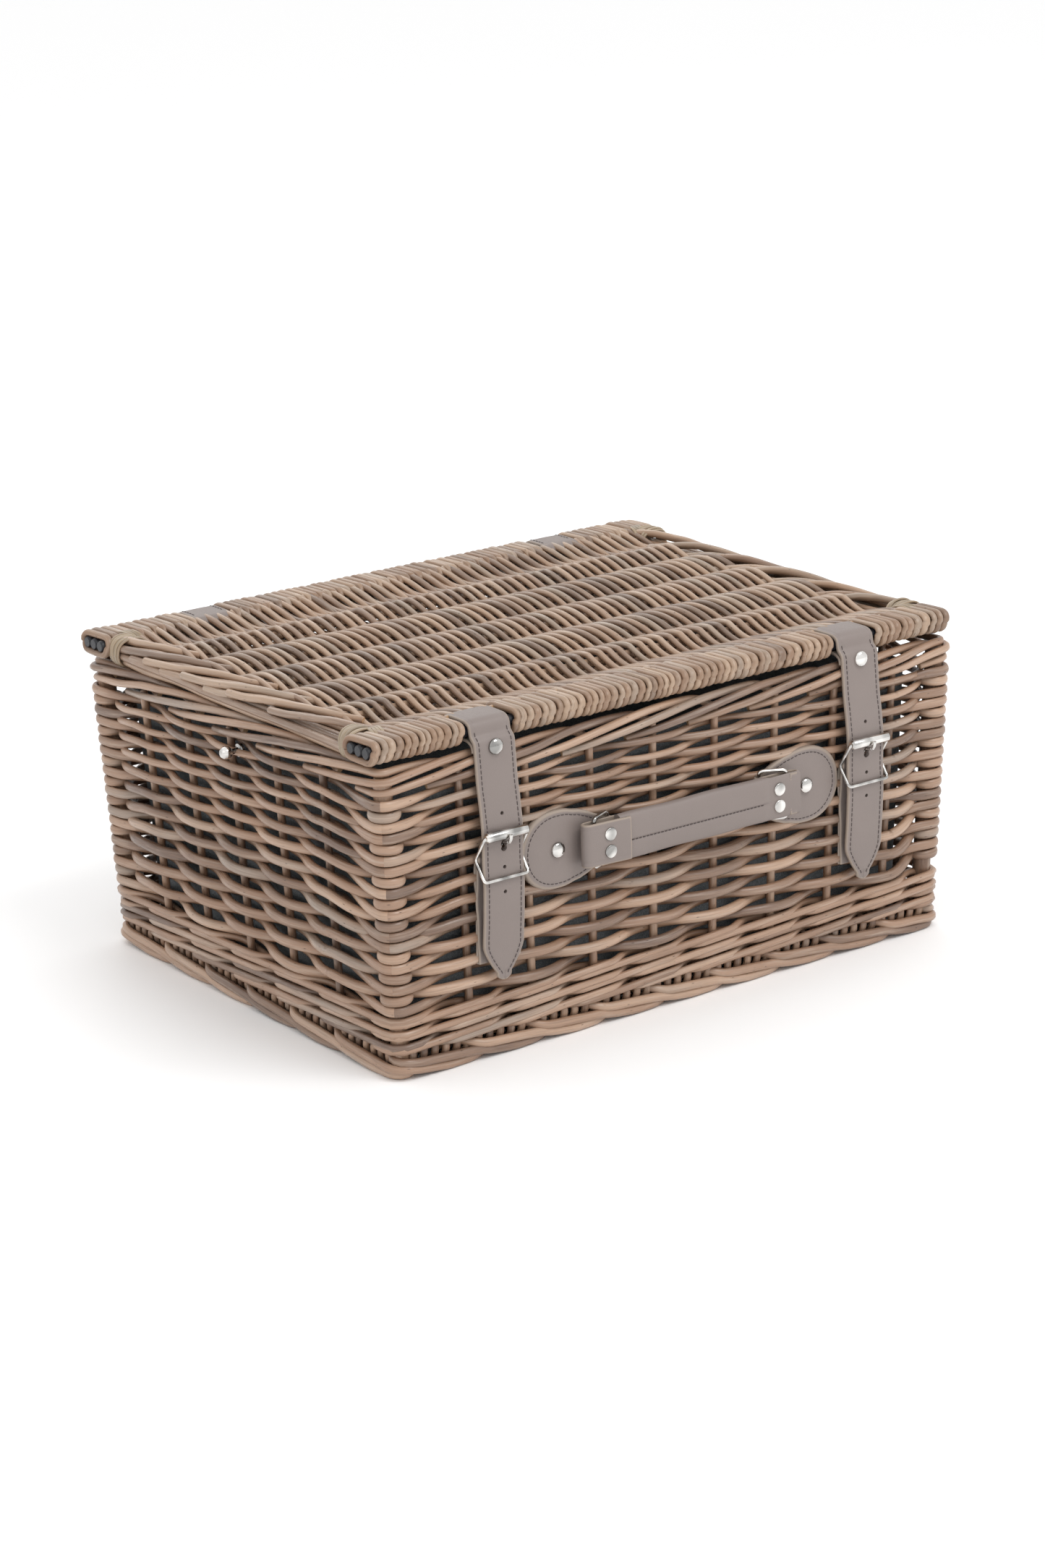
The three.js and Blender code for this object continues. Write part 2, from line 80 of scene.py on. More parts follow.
class Shader:
    """A node material put together from short calls."""

    def __init__(self, name):
        self.material = bpy.data.materials.new(name)
        self.material.use_nodes = True
        self.tree = self.material.node_tree
        self.tree.nodes.clear()
        self.bsdf = self.node("BsdfPrincipled")
        self.node("OutputMaterial", Surface=self.bsdf.outputs[0])

    def put(self, socket, value):
        if isinstance(value, bpy.types.NodeSocket):
            self.tree.links.new(value, socket)
        elif hasattr(socket.default_value, "__len__") and len(value) == 3 \
                and len(socket.default_value) == 4:
            socket.default_value = (*value, 1.0)
        else:
            socket.default_value = value

    def set(self, **values):
        for key, value in values.items():
            self.put(self.bsdf.inputs[key.replace("_", " ")], value)

    def attr(self, name, vector=False):
        node = self.node("Attribute")
        node.attribute_name = name
        return node.outputs["Vector" if vector else "Fac"]

    def node(self, kind, **inputs):
        node = self.tree.nodes.new("ShaderNode" + kind)
        for key, value in inputs.items():
            self.put(node.inputs[key], value)
        return node

    def coords(self):
        return self.node("TexCoord").outputs["Object"]

    def stretch(self, vector, scale):
        return self.node("Mapping", Vector=vector, Scale=scale).outputs[0]

    def noise(self, vector, scale, detail=3.0, rough=0.5):
        return self.node("TexNoise", Vector=vector, Scale=scale, Detail=detail,
                         Roughness=rough).outputs["Fac"]

    def voronoi(self, vector, scale):
        return self.node("TexVoronoi", Vector=vector, Scale=scale).outputs["Distance"]

    def ramp(self, fac, stops):
        node = self.node("ValToRGB")
        self.put(node.inputs[0], fac)
        band = node.color_ramp
        while len(band.elements) < len(stops):
            band.elements.new(0.5)
        for element, (place, colour) in zip(band.elements, stops):
            element.position = place
            value = colour if hasattr(colour, "__len__") else (colour,) * 3
            element.color = (*value, 1.0)
        return node.outputs[0]

    def mix(self, fac, a, b, mode="MIX"):
        node = self.node("Mix")
        node.data_type = "RGBA"
        node.blend_type = mode
        self.put(node.inputs[0], fac)
        self.put(node.inputs[6], a)
        self.put(node.inputs[7], b)
        return node.outputs[2]

    def maths(self, kind, a, b=0.0, c=0.0):
        node = self.node("Math")
        node.operation = kind
        for socket, value in zip(node.inputs, (a, b, c)):
            self.put(socket, value)
        return node.outputs[0]

    def bump(self, height, distance, strength=1.0):
        node = self.node("Bump", Height=height, Distance=distance, Strength=strength)
        self.set(Normal=node.outputs[0])


def srgb(r, g, b):
    return tuple(c / 12.92 if c <= 0.04045 else ((c + 0.055) / 1.055) ** 2.4
                 for c in (r / 255, g / 255, b / 255))


CHARCOAL_DARK = srgb(84, 88, 91)
CHARCOAL_LIGHT = srgb(126, 130, 132)
CHALK = srgb(196, 180, 165)
SPECK = srgb(46, 34, 27)
FRESH_CUT = srgb(196, 160, 122)
CHARRED = srgb(27, 28, 34)


def willow_shader(name, tones, painted_light_shade_mix=0.66, rough=(0.22, 0.44)):
    """Washed willow: a colour for each rod, streaks along it, specks and knots."""
    s = Shader(name)
    grain = s.attr("grain", vector=True)
    tone = s.attr("tone")
    crown = s.attr("crown")
    stops = [(i / (len(tones) - 1), c) for i, c in enumerate(tones)]
    slow = s.noise(s.stretch(grain, (0.012, 0.08, 0.08)), 1.0, 2.0)
    shift = s.maths("MULTIPLY_ADD", slow, 0.7, -0.35)
    base = s.ramp(s.maths("ADD", tone, shift), stops)
    streak = s.noise(s.stretch(grain, (0.05, 1.5, 1.5)), 1.0, 4.0, 0.6)
    streaks = s.ramp(streak, [(0.3, 0.74), (0.5, 1.0), (0.72, 1.14)])
    base = s.mix(0.85, base, streaks, "MULTIPLY")
    chalk = s.ramp(s.noise(s.stretch(grain, (0.03, 0.5, 0.5)), 1.0, 3.0, 0.65),
                   [(0.5, 0.0), (0.72, 1.0)])
    base = s.mix(s.maths("MULTIPLY", chalk, 0.32), base, CHALK)
    # Painted light and shade: by the crown attribute the rods' inward-facing and recessed
    # sides are darkened and their outward faces lightened.
    painted_light_shade = s.ramp(crown, [(0.0, (0.38, 0.29, 0.22)), (0.45, (0.78, 0.65, 0.54)),
                          (0.8, (1.0, 0.99, 0.98)), (1.0, (1.06, 1.08, 1.10))])
    base = s.mix(painted_light_shade_mix, base, painted_light_shade, "MULTIPLY")
    specks = s.ramp(s.voronoi(s.stretch(grain, (0.10, 0.42, 0.42)), 1.0),
                    [(0.04, 1.0), (0.11, 0.0)])
    base = s.mix(s.maths("MULTIPLY", specks, 0.75), base, SPECK)
    base = s.mix(s.maths("MULTIPLY", s.attr("cut"), 0.8), base, FRESH_CUT)
    base = s.mix(s.attr("dark"), base, CHARRED)
    gloss = s.ramp(streak, [(0.3, rough[1]), (0.7, rough[0])])
    s.set(Base_Color=base, Roughness=gloss, Specular_IOR_Level=0.5)
    s.bump(s.maths("SUBTRACT", streak, specks), 0.00025, 0.6)
    return s.material


TAN = [srgb(116, 95, 82), srgb(142, 115, 96), srgb(156, 126, 105),
       srgb(164, 135, 114), srgb(177, 148, 126), srgb(148, 130, 116)]
LID_TAN = [srgb(122, 102, 88), srgb(148, 123, 105), srgb(164, 137, 115),
           srgb(172, 147, 126), srgb(152, 134, 118)]
RAIL_TAN = [srgb(122, 100, 84), srgb(150, 124, 103), srgb(140, 112, 91),
            srgb(168, 143, 121), srgb(152, 132, 115)]
STRAW = [srgb(130, 115, 95), srgb(162, 144, 120), srgb(146, 127, 104)]
LEATHER = srgb(130, 119, 114)
LEATHER_EDGE = srgb(152, 138, 126)


def cloth_shader():
    s = Shader("charcoal_cloth")
    where = s.coords()
    weft = s.noise(s.stretch(where, (900, 900, 2600)), 1.0, 2.0)
    warp = s.noise(s.stretch(where, (2600, 2600, 900)), 1.0, 2.0)
    weave = s.maths("MULTIPLY", weft, warp)
    s.set(Base_Color=s.ramp(weave, [(0.12, CHARCOAL_DARK), (0.4, CHARCOAL_LIGHT)]),
          Roughness=0.95)
    s.bump(weave, 0.0003)
    return s.material


def leather_shader(base, edge):
    """Imitation leather: fine pebble grain, faint mottling and a paler worn edge."""
    s = Shader("taupe_leather")
    where = s.coords()
    pebble = s.voronoi(where, 1500.0)
    fine = s.noise(where, 900.0, 4.0, 0.6)
    cloud = s.noise(where, 26.0, 3.0)
    colour = s.ramp(cloud, [(0.35, tuple(c * 0.97 for c in base)),
                            (0.65, tuple(c * 1.03 for c in base))])
    rim = s.ramp(s.attr("edge"), [(0.35, 0.0), (0.9, 1.0)])
    colour = s.mix(rim, colour, edge)
    s.set(Base_Color=colour, Roughness=s.ramp(fine, [(0.3, 0.42), (0.7, 0.54)]),
          Specular_IOR_Level=0.45)
    s.bump(s.maths("MULTIPLY_ADD", pebble, 0.7, s.maths("MULTIPLY", fine, 0.5)), 0.00007)
    return s.material


def metal_shader(base):
    """Bright nickel plate with painted reflections: dark noise patches in its colour, which
    also vary its roughness.
    """
    s = Shader("nickel_plate")
    painted_reflection = s.noise(s.coords(), 95.0, 1.0)
    s.set(Base_Color=s.ramp(painted_reflection, [(0.38, tuple(c * 0.4 for c in base)), (0.62, base)]),
          Metallic=1.0, Roughness=s.ramp(painted_reflection, [(0.35, 0.08), (0.7, 0.16)]))
    return s.material


def thread_shader():
    s = Shader("dark_thread")
    twist = s.noise(s.coords(), 4000.0, 2.0)
    s.set(Base_Color=s.ramp(twist, [(0.3, srgb(58, 50, 50)), (0.7, srgb(92, 82, 80))]),
          Roughness=0.8)
    return s.material


MATERIALS = {
    "willow": willow_shader("willow_washed", TAN),
    "lid": willow_shader("willow_lid", LID_TAN),
    "rail": willow_shader("willow_rail", RAIL_TAN, rough=(0.24, 0.42)),
    "cane": willow_shader("cane_straw", STRAW, painted_light_shade_mix=0.55),
    "cloth": cloth_shader(),
    "leather": leather_shader(LEATHER, LEATHER_EDGE),
    "chrome": metal_shader((0.80, 0.78, 0.75)),
    "thread": thread_shader(),
}

# ---- Meshes and swept rods ----

def add_object(name, data):
    obj = bpy.data.objects.new(name, data)
    bpy.context.scene.collection.objects.link(obj)
    return obj


def settle(mesh, look, body, replaces=(), span=None):
    """Puts a finished mesh in the scene on its body; given a span, it stays unparented with
    its transform baked in.
    """
    mesh.materials.append(MATERIALS[look])
    obj = add_object(mesh.name, mesh)
    if span:
        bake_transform(obj)
    else:
        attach(obj, body)
    if replaces:
        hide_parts(*replaces)
    return obj


def unit(v):
    return v / np.maximum(np.linalg.norm(v, axis=-1, keepdims=True), 1e-9)


def run_length(points):
    """Length along a polyline at each of its points."""
    return np.concatenate([[0], np.cumsum(np.linalg.norm(np.diff(points, axis=0), axis=1))])


def xyz(x, y, z):
    """Points from coordinates, any of which may be one number for them all."""
    return np.stack(np.broadcast_arrays(x, y, z), -1).astype(float)


def circle(n):
    """Angle, cosine and sine of n even steps round a turn."""
    a = np.arange(n) * 2 * math.pi / n
    return a, np.cos(a), np.sin(a)


def power(v, p):
    """v to a power, with its own sign: squares off a cosine or sine."""
    return np.sign(v) * np.abs(v) ** p


def grid(n, m, closed=False):
    """Faces between n rings of m points; closed joins the last ring to the first."""
    i, j = np.arange(n if closed else n - 1)[:, None], np.arange(m)
    k, ahead = (j + 1) % m, (i + 1) % n
    quads = [i * m + j, i * m + k, ahead * m + k, ahead * m + j]
    return np.stack(quads, -1).reshape(-1, 4)


def ring_mesh(name, rings, flip=False, caps=(True, True), sharp=None, edge=None):
    """A smooth surface through rings of points; edge marks the leather's worn edge."""
    rings = np.asarray(rings)
    n, m = rings.shape[:2]
    faces = grid(n, m)[:, [0, 3, 2, 1] if flip else [0, 1, 2, 3]].tolist()
    step = 1 if flip else -1
    if caps[0]:
        faces.append(list(range(m))[::step])
    if caps[1]:
        faces.append(list(range((n - 1) * m, n * m))[::-step])
    mesh = bpy.data.meshes.new(name)
    mesh.from_pydata(((rings.reshape(-1, 3) + BODY) * MM).tolist(), [], faces)
    if edge is not None:
        mesh.attributes.new("edge", "FLOAT", "POINT").data.foreach_set(
            "value", np.ravel(edge).astype(np.float32))
    mesh.polygons.foreach_set("use_smooth", [True] * len(mesh.polygons))
    mesh.update()
    if sharp:
        mesh.set_sharp_from_angle(angle=math.radians(sharp))
    return mesh


class Rods:
    """Gathers swept rods into one mesh, with what the willow shader reads."""

    def __init__(self, name, slot, body, replaces=(), look=None, span=None):
        self.name, self.slot, self.body = name, slot, body
        self.replaces, self.look, self.span = replaces, look or slot, span
        self.points, self.loops, self.sizes, self.smooth = [], [], [], []
        self.marks = {"grain": [], "tone": [], "crown": [], "cut": [], "dark": []}
        self.count = 0

    def write(self, points, faces, smooth, **marks):
        n = len(points)
        self.points.append(points)
        self.loops.append(faces.ravel() + self.count)
        self.sizes.append(np.full(len(faces), faces.shape[1]))
        self.smooth.append(np.full(len(faces), smooth))
        for key, value in marks.items():
            self.marks[key].append(np.broadcast_to(value, (n, 3) if key == "grain" else n))
        self.count += n

    def add(self, path, out, across, deep, sides=12, shade=1.0, closed=False, dark=0.0):
        """Sweeps an oval along path; deep is its half size towards out; shade is painted
        shade.
        """
        path = np.asarray(path, float)
        out = np.broadcast_to(np.asarray(out, float), path.shape)
        across, deep, shade = (np.broadcast_to(np.asarray(v, float), len(path))
                               for v in (across, deep, shade))
        tone = rng.random()
        if closed:
            t = unit(np.roll(path, -1, 0) - np.roll(path, 1, 0))
        else:
            t = unit(np.gradient(path, axis=0))
        normal = unit(out - (out * t).sum(1, keepdims=True) * t)
        side = np.cross(t, normal)
        run = run_length(path)
        _, c, s = circle(sides)
        if not closed:
            tip = 0.3 * min(across[0], deep[0])
            path = np.vstack([path[0] - t[0] * tip, path, path[-1] + t[-1] * tip])
            normal, side = (np.vstack([v[:1], v, v[-1:]]) for v in (normal, side))
            across, deep = (np.concatenate([v[:1] * 0.8, v, v[-1:] * 0.8])
                            for v in (across, deep))
            run = np.concatenate([[-tip], run, [run[-1] + tip]])
            shade = np.pad(shade, 1, "edge")
        u, v = np.outer(across, c), np.outer(deep, s)
        ring = path[:, None] + u[..., None] * side[:, None] + v[..., None] * normal[:, None]
        grain = xyz(run[:, None], u, v) + rng.random(3) * (900, 90, 90)
        # crown: how far a point faces outward, times shade; the willow shader paints shade
        # and highlight from it.
        crown = (0.5 + 0.5 * s)[None] * shade[:, None]
        self.write(ring.reshape(-1, 3), grid(len(path), sides, closed), True, tone=tone,
                   grain=grain.reshape(-1, 3), crown=crown.ravel(), cut=0.0, dark=dark)
        if not closed:
            self.write(np.vstack([ring[0][::-1], ring[-1]]),
                       np.arange(2 * sides).reshape(2, sides), False, tone=tone,
                       grain=np.vstack([grain[0][::-1], grain[-1]]),
                       crown=0.9 * np.repeat(shade[[0, -1]], sides), cut=1.0, dark=dark)

    def build(self):
        points = (np.vstack(self.points) + BODY) * MM
        loops, sizes = np.concatenate(self.loops), np.concatenate(self.sizes)
        mesh = bpy.data.meshes.new(self.name)
        mesh.vertices.add(len(points))
        mesh.vertices.foreach_set("co", points.astype(np.float32).ravel())
        mesh.loops.add(len(loops))
        mesh.loops.foreach_set("vertex_index", loops.astype(np.int32))
        mesh.polygons.add(len(sizes))
        starts = np.cumsum(sizes) - sizes
        mesh.polygons.foreach_set("loop_start", starts.astype(np.int32))
        mesh.polygons.foreach_set("use_smooth", np.concatenate(self.smooth))
        mesh.update(calc_edges=True)
        for key, parts in self.marks.items():
            kind, field = "FLOAT", "value"
            if key == "grain":
                kind, field = "FLOAT_VECTOR", "vector"
            mesh.attributes.new(key, kind, "POINT").data.foreach_set(
                field, np.concatenate(parts).astype(np.float32).ravel())
        settle(mesh, self.look, self.body, self.replaces, self.span)


# ---- Places round the body ----

def widen(xy, z):
    """Plan places at the floor, carried out to height z by the body's taper."""
    return xy * (1 + SPREAD * (np.asarray(z)[..., None] / RIM_TOP))


class Round:
    """The stake line as a closed path with rounded corners, and its stake count."""

    def __init__(self, half_x, half_y, radius):
        arc = radius * math.pi / 2
        self.parts, self.marks, s = [], [-arc / 2], 0.0
        front, end = (half_x, half_y, FRONT_STAKES), (half_y, half_x, END_STAKES)
        for along, out, (half, other, places) in ((X, -Y, front), (Y, X, end),
                                                  (-X, Y, front), (-Y, -X, end)):
            run = half - radius
            self.parts.append(("line", s, 2 * run, out * other - along * run, along, out))
            self.marks.extend(s + places + run)
            s += 2 * run
            centre = along * run + out * (other - radius)
            self.parts.append(("arc", s, arc, centre, along, out))
            self.marks.append(s + arc / 2)
            s += arc
        self.length, self.radius = s, radius
        self.marks = np.array(self.marks)

    def s_of(self, index):
        """Path length at a stake count; counts 0, 9, 15 and 24 are the posts."""
        index = np.asarray(index, float)
        turn = np.floor(index / 30)
        return np.interp(index - 30 * turn, np.arange(31), self.marks) \
            + turn * self.length

    def at(self, s, depth, z):
        """Points and outward directions at path length s, depth outwards and z."""
        s = np.asarray(s, float) % self.length
        depth = np.broadcast_to(depth, s.shape)
        z = np.broadcast_to(z, s.shape)
        xy = np.zeros((len(s), 2))
        out = np.zeros((len(s), 2))
        for kind, s0, length, origin, along, outward in self.parts:
            here = (s >= s0) & (s <= s0 + length)
            step = (s[here] - s0)[:, None]
            if kind == "line":
                xy[here], out[here] = origin + along * step, outward
            else:
                a = step / self.radius
                direction = outward * np.cos(a) + along * np.sin(a)
                xy[here], out[here] = origin + self.radius * direction, direction
        xy = widen(xy, z) + out * depth[:, None]
        return np.column_stack([xy, z]), np.column_stack([out, np.zeros(len(s))])


def smooth(t):
    t = np.clip(t, 0, 1)
    return t * t * (3 - 2 * t)


def soften(values, reach):
    """A running mean over reach samples on each side."""
    width = 2 * reach + 1
    return np.convolve(np.pad(values, reach, "edge"), np.ones(width) / width, "valid")


def drift(n, span, size):
    """A slow random wander of n samples, about span samples from knot to knot."""
    knots = max(int(n / span) + 3, 4)
    values = rng.normal(0, size, knots)
    x = np.linspace(0, knots - 1, n)
    i = np.clip(x.astype(int), 0, knots - 2)
    f = smooth(x - i)
    return values[i] * (1 - f) + values[i + 1] * f


# ---- Randed walls ----

WALLS = {
    # name: direction along, outward direction, stake line, post place, stakes
    "front": (X, -Y, STAKE_Y, POST_X, FRONT_STAKES),
    "right": (Y, X, STAKE_X, POST_Y, END_STAKES),
    "back": (-X, Y, STAKE_Y, POST_X, FRONT_STAKES),
    "left": (-Y, -X, STAKE_X, POST_Y, END_STAKES),
}
POST_BEHIND = POST_X - STAKE_X
# Side of the two posts that even rows pass: 1 outside, -1 inside.
OUTSIDE_A = {"front": (1, -1), "right": (-1, -1), "back": (-1, 1), "left": (1, 1)}

# Rows are thicker near the floor than near the rim.
steps = np.linspace(0.245, 0.155, ROWS)
steps *= (ROWS_HIGH - ROWS_LOW) / steps.sum()
row_z = ROWS_LOW + np.cumsum(steps) - steps / 2
row_r = np.clip(steps * 0.485, 1.95, 3.05)


def band_heights():
    """Each row's height where it passes a post, the S rings, and the band spacing."""
    gap = (ROWS_HIGH - ROWS_LOW + 0.4) / len(BANDS)
    heights, rings = np.zeros(ROWS), []
    row = ROWS - 1
    for i, band in enumerate(BANDS):
        z = ROWS_HIGH - (i + 0.5) * gap
        if band == "L":
            if row % 2 and row > 0:
                heights[row] = z + gap / 2
                row -= 1
            heights[row] = z
        else:
            heights[row] = z
            rings.append(z)
        row = max(row - 1, 0)
    return heights, rings, gap


post_a, post_rings, BAND_GAP = band_heights()
shifted = np.concatenate([post_a[1:], post_a[-1:]])


def wall_rows(name, piece):
    along, outward, line, post, stakes = WALLS[name]
    for row in range(ROWS):
        s0, s1 = OUTSIDE_A[name] if row % 2 == 0 else (-v for v in OUTSIDE_A[name])
        r = row_r[row]
        reach = STAKE_R + r
        z_row = row_z[row] + rng.normal(0, 0.15)
        head = post_lead(s0, stakes[0] + post, -s0 * reach)
        tail = post_lead(s1, post - stakes[-1],
                         (s0 if len(stakes) % 2 == 0 else -s0) * reach)
        u, d = [-post + head[:, 0]], [head[:, 1]]
        sign = -s0
        for a, b in zip(stakes[:-1], stakes[1:]):
            t = np.arange(1, 16) / 15
            u.append(a + (b - a) * t)
            d.append(sign * reach * bend(t))
            sign = -sign
        u = np.concatenate([*u, post - tail[::-1, 0]])
        d = np.concatenate([*d, tail[::-1, 1]])
        n = len(u)
        z = z_row + drift(n, 11, 0.45)
        d = d + drift(n, 20, 0.12)
        near = smooth((stakes[0] - u) / (stakes[0] + post - 7))
        far = smooth((u - stakes[-1]) / (post - 7 - stakes[-1]))
        z = z * (1 - near - far) + post_height(row, s0) * near + post_height(row, s1) * far
        xy = widen(u[:, None] * along + outward * line, z) + outward * d[:, None]
        path = np.column_stack([xy, z])
        at_post = np.maximum(near ** 3 * (s0 > 0), far ** 3 * (s1 > 0))
        size = r * (1 + drift(n, 40, 0.05))
        across = size * (1 - at_post) + 0.47 * BAND_GAP * at_post
        deep = size * (1 - at_post) + 1.95 * at_post
        out = np.column_stack([outward + turn_out(u, post, along), np.zeros(n)])
        # Painted shade: the deeper a rod lies behind a stake, the darker its colour.
        shade = np.clip(0.74 + 0.055 * d, 0.42, 1.0)
        cuts = [0, *rod_joins(u, stakes, -s0), n - 1]
        for a, b in zip(cuts[:-1], cuts[1:]):
            if b - a > 2:
                own = slice(a, b + 1)
                piece.add(path[own], out[own], across[own], deep[own], shade=shade[own])


def rod_joins(u, stakes, first_sign):
    """Where one rod ends and the next begins: behind a stake, out of sight."""
    behind = [s for i, s in enumerate(stakes) if first_sign * (-1) ** i < 0]
    if rng.random() < 0.35 or not behind:
        return []
    return [int(np.argmin(np.abs(u - rng.choice(behind))))]


def post_height(row, side):
    """Height at a post of a row that passes outside (1) or inside (-1) of it."""
    return (post_a if (row % 2 == 0) == (side > 0) else shifted)[row]


def bend(t):
    """From one side of a stake (1) to the other side of the next (-1)."""
    s = np.cos(math.pi * t)
    return s * (1.12 - 0.12 * s * s)


def post_lead(side, gap, reach):
    """A row from the post's diagonal to the first stake, as (u from post, depth)."""
    if side > 0:
        a = np.radians(np.linspace(135, 90, 6))
        arc = np.column_stack([np.cos(a), np.sin(a)]) * POST_WRAP
        arc[:, 1] += POST_BEHIND
        start = arc[-1]
        t = np.linspace(0, 1, 13)[1:]
        depth = start[1] + (reach - start[1]) * smooth(t)
        return np.vstack([arc, np.column_stack([t * gap, depth])])
    start = np.array([0.7, -0.7]) * POST_WRAP + (0, POST_BEHIND)
    t = np.linspace(0, 1, 15)
    run, rise = gap - start[0], reach - start[1]
    curve = run / rise * (t - 2 * t ** 2 + t ** 3) + 3 * t ** 2 - 2 * t ** 3
    return np.column_stack([start[0] + t * run, start[1] + rise * curve])


def turn_out(u, post, along):
    """Extra outward lean near the posts, so the oval turns with the corner."""
    near = np.clip((-post + 2 - u) / 6, 0, 1)[:, None]
    far = np.clip((u - post + 2) / 6, 0, 1)[:, None]
    return (far - near) * along


for name, (along, outward, line, post, stakes) in WALLS.items():
    piece = Rods(f"{name}_wall_weave", "willow", "hamper_body", [f"{name}_wall"])
    wall_rows(name, piece)
    for stake in stakes:
        z = np.linspace(9, 172, 30)
        xy = widen(stake * along + outward * line, z)
        # Painted shade: the stakes, between and behind the rows, are coloured darker (shade
        # 0.8).
        piece.add(np.column_stack([xy, z]), [*outward, 0],
                  STAKE_R * np.linspace(1.05, 0.9, 30), STAKE_R, shade=0.8, sides=10)
    piece.build()

# ---- Corner posts ----

# On two of the posts the rings sit a little higher, as the rows there do.
for label, sx, sy, lift in (("front_left", -1, -1, 0.0), ("front_right", 1, -1, 0.02),
                            ("back_right", 1, 1, 0.02), ("back_left", -1, 1, 0.0)):
    piece = Rods(f"corner_{label}_bands", "willow", "hamper_body",
                 [f"corner_post_{label}"])
    foot = np.array([sx * POST_X, sy * POST_Y])
    z = np.linspace(10, 176, 24)
    # Painted shade: the post behind its rings is coloured darker (0.7), the rings a little
    # (0.9).
    piece.add(np.column_stack([widen(foot, z), z]), [sx, sy, 0], POST_R, POST_R, shade=0.7)
    for z_ring in post_rings:
        a, c, s = circle(36)
        z = z_ring + BAND_GAP * lift + 0.4 * np.sin(a - rng.random() * 6)
        out = xyz(c, s, 0)
        path = np.column_stack([widen(foot, z), z]) + POST_WRAP * out
        piece.add(path, out, 0.46 * BAND_GAP, 1.9, closed=True, shade=0.9)
    piece.build()

# ---- Wale, borders and base weave ----

ring = Round(STAKE_X, STAKE_Y, 4.5)

piece = Rods("bottom_wale_rods", "willow", "hamper_body", ["bottom_wale"])
WALE_Z = (18.2, 26.0, 33.8)
WALE_BEHIND, WALE_FRONT = -4.6, 4.4   # depth of a rod behind one stake, before two
WALE_RISE = 2.35
for z0 in WALE_Z:
    for rod in range(3):
        joins = np.sort(rng.choice(np.arange(10), 3, replace=False)) * 3 + rod
        for a, b in zip(joins, [*joins[1:], joins[0] + 30]):
            index = np.linspace(a - 0.15, b + 0.25, int((b - a) * 13))
            phase = ((index - rod) / 3) % 1.0
            behind = 0.5 + 0.5 * np.cos(2 * math.pi * phase)
            front = smooth(1 - np.clip(behind * 1.9 - 0.85, 0, 1))
            depth = WALE_BEHIND + (WALE_FRONT - WALE_BEHIND) * front
            rise = -WALE_RISE + 2 * WALE_RISE * np.clip((phase - 0.17) / 0.66, 0, 1)
            for part, shift in ((phase > 0.83, -0.83), (phase < 0.17, 0.17)):
                rise[part] = WALE_RISE * (1 - 2 * smooth((phase[part] + shift) / 0.34))
            s = ring.s_of(index)
            path, out = ring.at(s, depth + drift(len(s), 18, 0.15),
                                z0 + rise + drift(len(s), 16, 0.25))
            r = 2.25 * (1 + drift(len(s), 40, 0.05))
            # Painted shade: darker where the rod lies further in.
            piece.add(path, out, r, r, shade=np.clip(0.76 + 0.05 * depth, 0.4, 1),
                      sides=10)
piece.build()


def dark_rods(node):
    return Rods(f"{node}_rods", "willow_dark", "hamper_body", [node], look="willow")


def border_run(table, samples, reach):
    """Places, depths and heights along a border rod, with its bends rounded off."""
    t, depth, height = np.array(table).T
    fine = np.linspace(t[0], t[-1], samples)
    return fine, *(soften(np.interp(fine, t, v), reach) for v in (depth, height))


# (stakes passed, depth outwards, height) of one rod: out from behind the wale, down
# past the next stakes and in under the base.
FOOT = [(-0.30, -7.0, 15.0), (-0.16, -3.0, 13.0), (-0.04, 2.6, 11.4), (0.06, 5.0, 9.8),
        (0.22, 5.6, 9.0), (0.6, 5.6, 8.0), (1.0, 5.4, 6.6), (1.25, 5.2, 4.4),
        (1.6, 5.0, 2.9), (1.95, 3.8, 2.8), (2.15, 0.0, 2.9), (2.3, -5.0, 3.2)]
piece = dark_rods("foot_border")
fine, depth, height = border_run(FOOT, 74, 2)
for k in range(30):
    path, out = ring.at(ring.s_of(k + fine), depth,
                        np.maximum(height + drift(74, 20, 0.12), 2.85))
    # Painted shade: darker where the rod turns further in under the base.
    piece.add(path, out, 2.75, 2.65, shade=np.clip(0.72 + 0.05 * depth, 0.35, 1), sides=10)
piece.build()

piece = dark_rods("base_weave")
LOOP_PITCH = 7.4
BASE_Z = 12.0
count = int(ring.length / LOOP_PITCH)
# Painted shade: the loops and base rods under the body are coloured darker (0.7 to 0.75).
for k in range(count):
    a = np.linspace(-0.5 * math.pi, 0.5 * math.pi, 12)
    path, out = ring.at((k + 0.5) * ring.length / count + 0.8 * np.sin(a),
                        -2.5 + 4.0 * np.cos(a), 11.8 + 5.2 * np.sin(a))
    piece.add(path, unit(path - path.mean(0) + out * 4), 2.5, 1.7, shade=0.75, sides=10)
for k, x in enumerate(np.arange(-174, 175, 6.2)):
    y = np.linspace(-141, 141, 95)
    z = BASE_Z + 2.6 * np.cos(math.pi * (y / 47.0 + k))
    piece.add(xyz(x, y, z), [0, 0, -1], 2.7, 2.0, shade=0.7, sides=8)
for y in (-117.5, -70.5, -23.5, 23.5, 70.5, 117.5):
    piece.add(xyz(np.linspace(-181, 181, 40), y, BASE_Z), [0, 0, -1], 2.6, 2.4, shade=0.7,
              sides=8)
piece.build()

